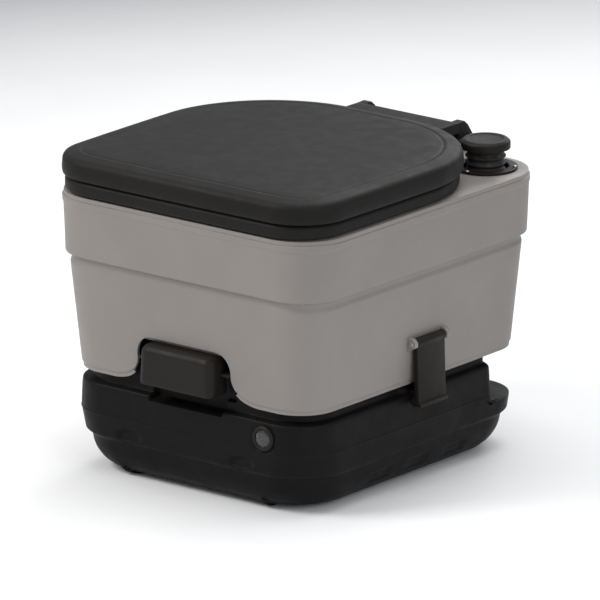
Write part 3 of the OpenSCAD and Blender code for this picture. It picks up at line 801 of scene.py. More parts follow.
def build_lid():
    dl = DEPTH - 66
    yl = -DEPTH / 2 + dl / 2
    plan = even(30, 34, -DEPTH / 2 + 54, -6, 30, nc=44)
    rf0, rb0 = 51.0, 132.0

    def ring(e, z):
        r = plan.ring(LW - 5 + 2 * e, dl - 3 + 2 * e, yl, rf0 + e, rb0 + e, 2.5, 1.5)
        return np.c_[r, np.full(len(r), z)]

    # outer skin from the lower lip up to the start of the crown
    out = dense(fillet([(-3.0, 305.3), (-0.9, 305.3), (-0.1, 309.0), (0.0, 313.5), (-1.1, 325.4), (-17.0, 328.2), (-20.4, 327.7), (-22.6, 328.3), (-32.0, 328.9)],
                       [0, 1.2, 3, 20, 8.5, 3, 1.8, 1.8, 0]), 2.2)
    rows = [ring(e, z) for e, z in out]
    last = rows[-1][:, :2]
    c2 = np.array([0.0, yl])
    rows += scaled_rings(last, c2, np.linspace(0.97, 0.06, 34), lambda k: 328.9 + 1.1 * (1 - k * k))
    P = np.array(rows)
    P[..., 2] += wave3(P, 0.10, 0.03, 0.3) * smooth(327.5, 328.5, P[..., 2])
    P[..., 2] = np.minimum(P[..., 2], 330.0)
    top = stack("lid_top", P, cap1=(0, yl, float(P[-1, :, 2].mean())))
    inn = dense(fillet([(-3.0, 305.3), (-4.2, 307.0), (-4.3, 316.0), (-6.0, 321.0), (-14.0, 324.2), (-34.0, 324.8)], [0, 1, 4, 5, 6, 0]), 2.5)
    rows = [ring(e, z) for e, z in inn]
    last = rows[-1][:, :2]

    def under(k):
        # a moulded step frames the middle of the underside
        return 324.8 + 0.9 * (1 - k * k) - 1.4 * (smooth(0.66, 0.685, k) - smooth(0.72, 0.745, k))
    ks = np.unique(np.round(np.r_[np.linspace(0.97, 0.76, 8), np.linspace(0.755, 0.655, 21), np.linspace(0.64, 0.05, 18)], 4))[::-1]
    rows += scaled_rings(last, c2, ks, under)
    bot = stack("lid_under", np.array(rows), cap1=(0, yl, 325.7))
    parts = [top, bot]
    # tongue that reaches back to the hinge, hollow below
    y1 = yl + dl / 2
    tong = rbox_raw("tongue", (-64.9, y1 - 4.0, 305.7), (64.9, 175.8, 317.3), 2.4, 4, 7)
    cut(tong, rbox_raw("room", (-61, y1 + 3.2, 300.0), (61, 171.8, 313.8), 1.6, 3, 20))
    parts.append(tong)
    for x in (-40.0, -20.0, 0.0, 20.0, 40.0):
        parts.append(rbox_raw("rib", (x - 0.9, y1 + 1.0, 306.2), (x + 0.9, 173.0, 315.0), 0.5, 2, 12))
    for s in (-1, 1):
        a, b = sorted((s * 54.3, s * 64.7))
        arm = prism_raw("arm", [(173.2, 306.8), (173.2, 316.8), (184.6, 317.2), (190.2, 312.6), (YH + 5.4, ZH + 4.2), (YH, ZH - 5.0), (YH - 5.2, ZH - 3.6)], a, b, "x", 1.6)
        parts.append(bevel(arm, 0.7, 2, 50))
        parts.append(lathe_raw("barrel", fillet([(3.1, a), (6.5, a), (6.5, b), (3.1, b), (3.1, a)], [0, 0.7, 0.7, 0, 0]), (0, YH, ZH), "x", 64))
    ob = join(parts, "lid_shell")
    bm = bmesh.new()
    bm.from_mesh(ob.data)
    bmesh.ops.remove_doubles(bm, verts=bm.verts, dist=2e-5)
    bm.to_mesh(ob.data)
    bm.free()
    wear_attr(ob, lambda v: 0.9 * np.exp(-((v[:, 2] - 325.4) / 1.6) ** 2) * (np.hypot(v[:, 0], v[:, 1] - yl) > 140) + 0.7 * np.exp(-((v[:, 2] - 305.8) / 0.9) ** 2))
    put(ob, "lid_unit", LID, "lid")


def wear_attr(ob, f):
    """Where a shell is rubbed: f gives 0 to 1 from vertex positions in millimetres."""
    v = np.zeros(len(ob.data.vertices) * 3)
    ob.data.vertices.foreach_get("co", v)
    v = v.reshape(-1, 3) / MM
    at = ob.data.attributes.new("wear", "FLOAT", "POINT")
    at.data.foreach_set("value", np.clip(f(v), 0, 1).astype(np.float32))


def stadium(ang, w, l, c):
    """Points of an oval with straight sides, in the directions given from its centre."""
    r, s = w / 2, (l - w) / 2
    ca, sa = np.cos(ang), np.sin(ang)
    t1 = r / np.maximum(np.abs(ca), 1e-9)
    y1 = t1 * np.abs(sa)
    b = s * np.abs(sa)
    t2 = b + np.sqrt(np.maximum(b * b - (s * s - r * r), 0))
    t = np.where(y1 <= s, t1, t2)
    return np.c_[t * ca, t * sa] + np.array(c)


def build_seat():
    yc, d, w = -DEPTH / 2 + 166.0, 329.0, LW - 8
    plan = even(30, 34, yc - d / 2 + 56, -6, 30, nc=44)
    oc = np.array([0.0, -46.0])
    base = plan.ring(w, d, yc, 50, 130)
    ang = np.arctan2(base[:, 1] - oc[1], base[:, 0] - oc[0])

    def o(e, z):
        return np.c_[plan.ring(w - 3 - 2 * e, d - 3 - 2 * e, yc, 50 - e, 130 - e, 1.5, 1.5), np.full(plan.n, z)]

    def i(e, z):
        return np.c_[stadium(ang, 196 + 2 * e, 228 + 2 * e, oc), np.full(plan.n, z)]

    rows = []
    side = dense(fillet([(3.0, 290.4), (0.6, 290.4), (0.0, 293.0), (0.0, 301.5), (3.6, 304.2), (12.0, 304.6)], [0, 1.2, 1, 3.4, 4, 0]), 2.0)
    rows += [o(e, z) for e, z in side]
    A, B = o(12.0, 304.6)[:, :2], i(12.0, 303.4)[:, :2]
    for t in np.linspace(0, 1, 13)[1:-1]:
        z = 304.6 + 0.35 * math.sin(math.pi * t) - 1.2 * t ** 2
        rows.append(np.c_[A + (B - A) * t, np.full(plan.n, z)])
    lip = dense(fillet([(12.0, 303.4), (5.0, 301.9), (0.4, 298.2), (0.0, 294.0), (1.4, 291.0), (4.0, 290.6)], [0, 8, 4, 3, 1.2, 0]), 1.6)
    rows += [i(e, z) for e, z in lip]
    C, D = i(4.0, 290.6)[:, :2], o(3.0, 290.4)[:, :2]
    for t in np.linspace(0, 1, 9)[1:-1]:
        # hollow underside
        dip = 3.6 * (smooth(0.04, 0.14, t) - smooth(0.86, 0.96, t))
        rows.append(np.c_[C + (D - C) * t, np.full(plan.n, 290.5 + dip)])
    P = np.array(rows)
    verts = P.reshape(-1, 3)
    ring = raw("seat_ring", verts, grid_faces(len(P), plan.n, close_rows=True))
    parts = [ring, rbox_raw("tongue", (-64.8, 100, 291.3), (64.8, 173.8, 301.4), 2.4, 4, 8)]
    for s in (-1, 1):
        a, b = sorted((s * 43.8, s * 53.2))
        arm = prism_raw("arm", [(168, 291.6), (YH - 3.5, ZH - 5.2), (YH + 1.5, ZH), (YH - 3.5, ZH + 5.2), (168, 301.8)], a, b, "x", 1.2)
        parts.append(bevel(arm, 0.6, 2, 50))
        parts.append(lathe_raw("barrel", fillet([(3.1, a), (6.5, a), (6.5, b), (3.1, b), (3.1, a)], [0, 0.7, 0.7, 0, 0]), (0, YH, ZH), "x", 64))
    ob = join(parts, "seat_ring")
    wear_attr(ob, lambda v: 0.5 * np.exp(-((v[:, 2] - 303.4) / 0.8) ** 2))
    put(ob, "seat_unit", LID, "seat")


# ------------------------------------------------------------------ flush tank's casing
# the notch's half width against height, as a smooth curve through a few points
def arch_curve():
    pts = [(100.0, 108.7), (92.0, 108.9), (82.0, 110.2), (73.0, 113.0), (66.2, 117.6), (61.6, 123.6), (59.3, 130.6), (59.2, 139.0), (57.0, 146.0), (53.0, 151.4), (47.5, 154.9), (41.0, 156.0), (34.0, 156.0)]
    out = []
    for i in range(1, len(pts) - 2):
        p0, p1, p2, p3 = [np.array(q) for q in pts[i - 1:i + 3]]
        for t in np.linspace(0, 1, 8, endpoint=False):
            out.append(0.5 * (2 * p1 + (p2 - p0) * t + (2 * p0 - 5 * p1 + 4 * p2 - p3) * t * t + (3 * p1 - p0 - 3 * p2 + p3) * t ** 3))
    out.append(np.array(pts[-2]))
    out = np.array(out)
    return out[:, 0], np.minimum(np.maximum.accumulate(out[:, 1]), 156.0)


NOTCH_X, NOTCH_Z = arch_curve()
FOOT = (NOTCH_X > 66.1)


def follow_arch(P, plan, e_of):
    """Bends the front wall's grid so that one column runs along the notch's outline and the lower lip along its flared foot.
    Gives back the column numbers of that outline, left and right."""
    idx = np.where(plan.side == 0)[0]
    x0 = P[0, idx, 0]
    ks = [int(np.argmin(np.abs(x0 - s * 59.2))) for s in (-1, 1)]
    fx, fz = NOTCH_X[FOOT][::-1], NOTCH_Z[FOOT][::-1]
    for j in range(len(P)):
        z = float(P[j, idx[ks[0]], 2])
        zk = 117.6 + (z - 109.0) / 22.0 * (131.0 - 117.6) if z < 131.0 else z
        x = P[j, idx, 0].copy()
        for k, s in zip(ks, (-1, 1)):
            xc = abs(float(x[k]))
            h = float(np.interp(zk, NOTCH_Z, NOTCH_X))
            if z > 156.0:
                h = 41.0 + (xc - 41.0) * float(smooth(156.0, 182.0, z))
            end = float(np.max(s * x))
            m = (s * x > 0)
            a = np.abs(x[m])
            P[j, idx[m], 0] = s * np.where(a <= xc, a * h / xc, h + (a - xc) * (end - h) / (end - xc))
        if z < 131.0:
            xn = np.abs(P[j, idx, 0])
            zb = np.maximum(np.where(xn < fx[0], fz[0], np.where(xn > 92.0, 109.0, np.interp(xn, fx, fz))), 109.0)
            zn = zb + (z - 109.0) / 22.0 * (131.0 - zb)
            P[j, idx, 2] = zn
            P[j, idx, 1] -= (np.interp(zn, [109, 131], [e_of(109), e_of(131)]) - np.interp(z, [109, 131], [e_of(109), e_of(131)])) * 0.91
    return [int(idx[k]) for k in ks]


def build_casing():
    Z = np.r_[samples(109.0, 284.0, (116.0, 123.0, 135.0, 156.0, 189.0, 205.0, 214.0, 218.6, 222.6, 225.8, 233.0, 255.0, 274.0), coarse=4.2, fine=0.8, zone=3.4)]
    fr = samples(-98, 98, (-74, -36, 36, 74), coarse=4.5, fine=0.8, zone=3.5)
    fr = np.unique(np.round(np.r_[np.linspace(-40, 40, 65), fr[(np.abs(fr) > 41) & (np.abs(fr) < 55.5)], np.linspace(56, 98, 48), -np.linspace(56, 98, 48)], 3))
    sd = samples(-126, 116, (-63, 53), coarse=5.0, fine=0.8, zone=4.0)
    bk = samples(-98, 98, (-70, -50, -90, 90), coarse=5.0, fine=0.9, zone=3.5)
    plan = Plan(fr, sd, bk[::-1], sd[::-1], nc=26)

    def e_of(z):
        lower = np.interp(z, [109, 222.4], [-15.4, -5.4])
        upper = np.interp(z, [225.6, 284], [-1.9, 0.0])
        # the upper band stands out over a shallow groove
        groove = -1.9 * (smooth(213.0, 219.5, z) - smooth(222.6, 224.0, z))
        return lower + (upper - lower) * smooth(222.8, 225.6, z) + groove

    def ring(e, z):
        r = plan.ring(LW - 4 - 2 + 2 * e, 382 - 2 + 1.82 * e, YC, 46 + 0.42 * e, 46 + 0.42 * e, 1.0, 1.0)
        return np.c_[r, np.full(len(r), z)]

    Z = np.unique(np.round(np.r_[Z[((Z < 184) | (Z > 206)) & ((Z < 112) | (Z > 158.5))], np.linspace(112, 149, 32), np.linspace(149.6, 158.5, 14), 156.0, np.linspace(184, 206, 25)], 3))
    Z = Z[np.r_[True, np.diff(Z) > 0.12]]
    rows = [ring(e_of(109) - 1.2, 109.0)]
    for z in Z:
        # edges at the lower lip and the rim are rolled
        rr = 1.3
        e = e_of(z)
        for q in (z - 109.0, 284.0 - z):
            if q < rr:
                e -= rr - math.sqrt(max(rr * rr - (rr - q) ** 2, 0))
        e += 0.7 * float(smooth(276.0, 277.6, z))        # rim band
        rows.append(ring(e, z))
    P = np.array(rows)
    n2 = np.array([normals2(r[:, :2]) for r in P])
    kl, kr = follow_arch(P, plan, e_of)
    x, y, z = P[..., 0], P[..., 1], P[..., 2]
    side = np.broadcast_to(plan.side, x.shape)
    disp = np.zeros_like(x)
    front, right, left, back = (side == 0), (side == 1), (side == 3), (side == 2)
    # shallow panel on the front, below the crease, with a plain oval pad
    sd_p = np.maximum(np.abs(x) - 74.0, z - 212.0)
    fr_all = front | (side == 4) | (side == 7)
    disp -= np.where(fr_all, 2.3 * (1 - smooth(-0.9, 0.9, sd_p)), 0)
    ov = (np.hypot(x / 36.0, (z - 195.0) / 9.0) - 1.0) * 9.0
    disp += np.where(front, 2.2 * (1 - smooth(-1.3, 0.0, ov)) - 1.0 * np.exp(-((ov - 1.3) / 1.0) ** 2), 0)
    # a shallow rectangle on the back, in the same style
    disp -= np.where(back | (side == 5) | (side == 6), 1.2 * (1 - smooth(-1.6, 1.2, np.maximum(np.abs(x) - 90.0, np.abs(z - 166) - 48.0))), 0)
    # grip pockets on the two sides, rounded at the mouth
    g = rrect(y, z, YC, 244.0, 58.0, 11.0, 6.0)
    pocket = 17.0 * (1 - smooth(-1.3, 0.2, g)) + 1.6 * (1 - smooth(-0.4, 3.2, g))
    disp -= np.where(left | right, pocket, 0)
    # seat for the latches
    lt = rrect(y, z, 0.0, 128.0, 34.0, 33.0, 6.0)
    disp -= np.where(left | right, 1.6 * (1 - smooth(-1.6, 1.0, lt)), 0)
    # arched notch for the valve handle: the skin's edge rolls in, and follows the arch exactly
    q = np.full(x.shape, 9.0)
    near = front & (np.abs(x) < 98) & (z < 160)
    line = np.r_[np.c_[NOTCH_X, NOTCH_Z], np.c_[np.linspace(41, 0, 24), np.full(24, 156.0)]]
    line = line[line[:, 0] < 90]
    q[near] = np.hypot(np.abs(x[near])[:, None] - line[None, :, 0], z[near][:, None] - line[None, :, 1]).min(1)
    roll = np.where(q < 1.7, 1.5 - np.sqrt(np.maximum(1.5 ** 2 - (1.7 - q) ** 2 * 0.76, 0)), 0)
    disp -= np.where(near, roll, 0)
    w = wave3(P, 0.22, 0.03)
    P[..., 0] += n2[..., 0] * w
    P[..., 1] += n2[..., 1] * w
    n_rows, n = P.shape[:2]
    hole = np.zeros((n_rows - 1, n), bool)
    xm = (P[:-1, :, 0] + np.roll(P, -1, 1)[:-1, :, 0]) / 2
    zm = (P[:-1, :, 2] + P[1:, :, 2]) / 2
    top = int(np.argmin(np.abs(P[:, kl, 2] - 156.0)))
    lo, hi = min(kl, kr), max(kl, kr)
    hole[:top, lo:hi] = True
    # window of the water gauge
    bmk = (plan.side == 2)[None, :] & np.roll(plan.side == 2, -1)[None, :]
    hole |= bmk & (xm > -70.0) & (xm < -50.0) & (zm > 230.0) & (zm < 274.0)
    skin = stack("casing_skin", P, hole=hole)
    solidify(skin, 3.2)
    parts = [skin]
    for s in (-1, 1):
        for y0 in (-29.0, 23.5):
            pts = [(s * 154.5, 141.5), (s * 158.0, 141.6), (s * 168.6, 147.0), (s * 168.8, 152.0), (s * 165.2, 155.6), (s * 156.0, 157.0), (s * 154.5, 157.0)]
            ear = prism_raw("ear", pts, y0, y0 + 5.5, "y", 1.8)
            parts.append(bevel(ear, 0.6, 2, 50))
    ob = join(parts, "casing_shell")
    wear_attr(ob, lambda v: 0.7 * np.exp(-((v[:, 2] - 225.8) / 1.2) ** 2) + np.exp(-((v[:, 2] - 109.6) / 0.9) ** 2))
    put(ob, "flush_unit", SHELL, "upper_casing")


# ------------------------------------------------------------------ waste tank
def build_tank():
    zk = np.array([3, 6, 13, 24, 36, 39, 64, 92, 101, 104, 123, 126.0])
    rk = np.array([49, 52, 55, 56, 55, 53, 48, 45, 44, 44, 44, 42.0])
    prof = dense(fillet([(-44, 3.0), (-27, 3.0), (-19, 5.6), (-11.5, 12.6), (-6.1, 23.0), (-4.3, 37.2), (-0.7, 41.6), (0.7, 62.8), (1.1, 63.9), (0.7, 65.0),
                         (-0.6, 88.0), (-1.3, 93.8), (-8.8, 96.4), (-9.3, 104.2), (-10.2, 121.0), (-13.5, 126.0), (-20.0, 126.0)],
                        [0, 10, 14, 18, 30, 2.2, 2.2, 0.4, 0.4, 0.4, 40, 3.0, 1.6, 3, 3, 4, 0]), 2.2)
    X0 = 92.0
    fr = samples(-X0, X0, (-58, -46, 46, 58), coarse=2.4, fine=0.9, zone=3.2)
    sd = samples(-92, 82, (), coarse=5.0)
    bk = samples(-X0, X0, (), coarse=6.0)
    plan = Plan(fr, sd, bk[::-1], sd[::-1], nc=46)
    rec_y, rec_z = 117.0, 56.0
    W0, D0 = LW - 31 - 1.6, 358 - 1.6

    def ring(e, r, y_back=None, rb=None):
        w, d = W0 + 2 * e, D0 + 2 * e
        y0, y1 = YC - d / 2, YC + d / 2
        if y_back is not None and y_back < y1:
            y1 = y_back
            rr = rb
        else:
            rr = r
        q = plan.ring(w, y1 - y0, (y0 + y1) / 2, r, min(rr, (y1 - y0) / 2 - 1))
        return q

    rows = []
    m_back = np.where(plan.side == 2, 1.0, 0.0)
    k = (plan.side == 5).nonzero()[0]
    m_back[k] = np.clip((np.arange(len(k)) + 1) / 4.0, 0, 1)
    k = (plan.side == 6).nonzero()[0]
    m_back[k] = np.clip((len(k) - np.arange(len(k))) / 4.0, 0, 1)
    zl0, zl1 = rec_z - 2.6, rec_z + 8.0          # heights between which the ledge is made
    below = [p for p in prof if p[1] <= zl0]
    above = [p for p in prof if p[1] >= zl1]
    for e, z in below:
        q = ring(e, np.interp(z, zk, rk))
        rows.append(np.c_[q, np.full(len(q), z)])
    n_led = 26
    full = lambda e, z, ins: ring(e, np.interp(z, zk, rk), YC + (D0 + 2 * e) / 2 - ins, np.interp(z, zk, rk) - ins) if ins > 0 else ring(e, np.interp(z, zk, rk))
    # ledge profile: how far along from the full outline (0) to the short one (1), and its height
    led = dense(fillet([(0.0, zl0), (0.0, rec_z), (57.0, rec_z), (57.0, zl1)], [0, 2.4, 4.0, 0]), 3.2)
    for s_, zz in led:
        t = s_ / 57.0
        z_side = zl0 + (zl1 - zl0) * (np.where((led == (s_, zz)).all(1))[0][0] / (len(led) - 1))
        e = np.interp(z_side, prof[:, 1][5:-3], prof[:, 0][5:-3])
        a = ring(e, np.interp(z_side, zk, rk))
        b = ring(e, np.interp(z_side, zk, rk), rec_y, 12.0)
        q = a + (b - a) * t
        zz_v = z_side + (zz - z_side) * m_back
        rows.append(np.c_[q, zz_v])
    for e, z in above:
        inset = max(0.0, -8.2 - e) if z > 104 else 0.0
        q = ring(e, min(np.interp(z, zk, rk), 60), rec_y - inset, 12.0)
        rows.append(np.c_[q, np.full(len(q), z)])
    # the platform: from its outline to the round mouth
    last = rows[-1][:, :2]
    c = np.array([0.0, -30.0])
    ang = np.arctan2(last[:, 1] - c[1], last[:, 0] - c[0])
    circ = c + 60.2 * np.c_[np.cos(ang), np.sin(ang)]
    for t in np.linspace(0, 1, 9)[1:]:
        q = last + (circ - last) * t
        rows.append(np.c_[q, np.full(len(q), 126.0)])
    P = np.array(rows)
    n2 = np.array([normals2(r[:, :2]) for r in P])
    x, y, z = P[..., 0].copy(), P[..., 1].copy(), P[..., 2].copy()
    side = np.broadcast_to(plan.side, x.shape)
    outer = (z < 105.0)
    w = wave3(P, 0.35, 0.035, 0.6) * smooth(8, 20, z) * (1 - smooth(98, 103, z))
    P[..., 0] += n2[..., 0] * w
    P[..., 1] += n2[..., 1] * w
    frontish = (y < -140)
    # finger scoop under the handle
    m = (1 - smooth(44.0, 47.2, np.abs(x))) * smooth(89.5, 93.0, z) * frontish
    y_s = np.maximum(P[..., 1], -168.0)
    P[..., 1] += (y_s - P[..., 1]) * m
    m = (1 - smooth(56.5, 59.0, np.abs(x))) * smooth(104.2, 106.0, z) * frontish
    y_s = np.maximum(P[..., 1], -169.5)
    P[..., 1] += (y_s - P[..., 1]) * m
    # flat seat round the level window
    g = np.hypot(x - LX, z - LZ)
    m = (1 - smooth(13.6, 15.0, g)) * frontish
    P[..., 1] += (LY + 0.5 - P[..., 1]) * m
    # beside the ledges that the latches hook under, the shoulder is not set back
    m = np.where((side == 1) | (side == 3), (1 - smooth(24.0, 29.0, np.abs(y))) * smooth(94.0, 95.0, z) * (1 - smooth(101.0, 104.0, z)), 0)
    P[..., 0] += np.sign(x) * m * 4.5
    # shallow oval recess low on the front, at each side: a foot hold moulded in the tank
    for s in (-1, 1):
        ov = (np.hypot((x - s * 72.0) / 16.0, (z - 47.0) / 7.0) - 1.0) * 7.0
        m = np.where(frontish, 2.6 * (1 - smooth(-2.4, 0.6, ov)), 0)
        P[..., 1] += m
    # stiffening flutes low on the sides
    for yy in (-60.0, 0.0, 60.0):
        gg = rrect(y, z, yy, 20.0, 17.0, 6.0, 5.0)
        m = np.where((side == 1) | (side == 3), 1.6 * (1 - smooth(-2.5, 1.5, gg)), 0)
        P[..., 0] -= n2[..., 0] * m
    skin = stack("tank_skin", P, cap0=(0, YC, 3.0))
    solidify(skin, 2.6)
    parts = [skin]
    for s in (-1, 1):
        pts = [(s * 150.5, 101.0), (s * 157.2, 101.0), (s * 160.5, 99.2), (s * 160.5, 95.7), (s * 155.2, 90.4), (s * 150.5, 90.4)]
        lug = prism_raw("lug", pts, -20, 20, "y", 0.0)
        parts.append(bevel(lug, 0.9, 3, 20))
    neck = lathe_raw("neck", [(16.0, 53.0), (19.9, 53.0), (19.9, 67.4), (19.4, 68.0), (16.4, 68.0), (16.0, 67.6), (16.0, 53.0)], (SX, SY, 0), "z", 72)
    parts.append(neck)
    ob = join(parts, "tank_shell")
    wear_attr(ob, lambda v: 0.6 * np.exp(-((v[:, 2] - 12.0) / 5.0) ** 2) + 0.5 * np.exp(-((v[:, 2] - 64.0) / 0.9) ** 2) + 0.5 * np.exp(-((v[:, 2] - 38.0) / 1.6) ** 2))
    put(ob, "waste_unit", TANK, "waste_tank")


# ------------------------------------------------------------------ bowl
def pchip(xk, yk, x):
    xk, yk = np.asarray(xk, float), np.asarray(yk, float)
    h = np.diff(xk)
    dl = np.diff(yk) / h
    m = np.zeros_like(yk)
    m[0], m[-1] = dl[0], dl[-1]
    for i in range(1, len(xk) - 1):
        if dl[i - 1] * dl[i] > 0:
            w1, w2 = 2 * h[i] + h[i - 1], h[i] + 2 * h[i - 1]
            m[i] = (w1 + w2) / (w1 / dl[i - 1] + w2 / dl[i])
    i = np.clip(np.searchsorted(xk, x) - 1, 0, len(h) - 1)
    t = (x - xk[i]) / h[i]
    return ((1 + 2 * t) * (1 - t) ** 2 * yk[i] + t * (1 - t) ** 2 * h[i] * m[i] + t * t * (3 - 2 * t) * yk[i + 1] + t * t * (t - 1) * h[i] * m[i + 1])


def build_bowl():
    zk = [143.5, 152, 158, 164, 174, 200, 232, 262, 283.8]
    wk = [108, 108, 110, 124, 156, 190, 218, 235, 242]
    dk = [108, 108, 110, 128, 172, 218, 254, 274, 282]
    yk = [-30, -30, -30, -30.3, -31, -32, -32, -32, -32]
    th = np.linspace(0, 2 * math.pi, 160, endpoint=False)
    zz = np.r_[np.linspace(143.5, 158, 10), np.linspace(159.5, 200, 26), np.linspace(203, 283.8, 26)]
    rows = []
    for z in zz:
        w, d, yc = (float(pchip(zk, k_, np.array([z]))[0]) for k_ in (wk, dk, yk))
        q = stadium(th, w, d, (0, yc)) if d > w + 0.01 else np.c_[w / 2 * np.cos(th), w / 2 * np.sin(th)] + np.array((0, yc))
        rows.append(np.c_[q, np.full(len(q), z)])
    # the rim turns out under the deck
    for o, z in ((1.5, 283.8), (6.0, 283.7), (10.0, 283.6)):
        q = stadium(th, 242 + 2 * o, 282 + 2 * o, (0, -32.0))
        rows.append(np.c_[q, np.full(len(q), z)])
    P = np.array(rows)
    skin = stack("bowl_skin", P)
    solidify(skin, 3.0)
    fix_normals(skin.data)
    skin.name = "bowl_shell"
    put(skin, "flush_unit", BOWL, "bowl", smooth_angle=50)

# ------------------------------------------------------------------ turned and moulded small parts
def lathe(name, prof, origin, axis, body, mat, replaces=(), n=96, ripple=None, smooth_angle=40):
    return put(lathe_raw(name, prof, origin, axis, n, ripple), body, mat, replaces, smooth_angle)


def ribs(count, depth, h0, h1, r_min):
    """Ripple for a grip: rounded ribs between two heights, only on the outer skin."""
    def f(th, r, h):
        if r < r_min:
            return 0 * th
        k = float(smooth(h0, h0 + 1.2, h)) * (1 - float(smooth(h1 - 1.6, h1, h)))
        c = np.cos(count * th)
        return depth * k * (np.maximum(c, 0) ** 0.8 * 1.0)
    return f


def screw_raw(x, y, z, r, h, axis="z", deep=2.0, sgn=1):
    """Pan head with a cross recess and a stub of shank. z is the face it sits on."""
    head = lathe_raw("head", fillet([(0, 0), (r, 0), (r, h * 0.45), (r * 0.72, h * 0.93), (0, h)], [0, 0.15, h * 0.4, h * 0.5, 0]), (0, 0, 0), "z", 40)
    t = r * 0.17
    a = rbox_raw("a", (-r * 0.62, -t, h * 0.45), (r * 0.62, t, h + 1), t * 0.5, 2)
    b = rbox_raw("b", (-t, -r * 0.62, h * 0.45), (t, r * 0.62, h + 1), t * 0.5, 2)
    cut(head, a, b)
    ang = 0.7 + 1.7 * (x * 0.013 + y * 0.029)
    head.data.transform(Matrix.Rotation(ang, 4, "Z"))
    head.data.transform(Matrix.Translation(Vector((x, y, z)) * MM))
    shank = lathe_raw("shank", [(0, z - deep), (r * 0.5, z - deep), (r * 0.5, z + 0.05), (0, z + 0.05)], (x, y, 0), "z", 24)
    return join([head, shank], "screw")


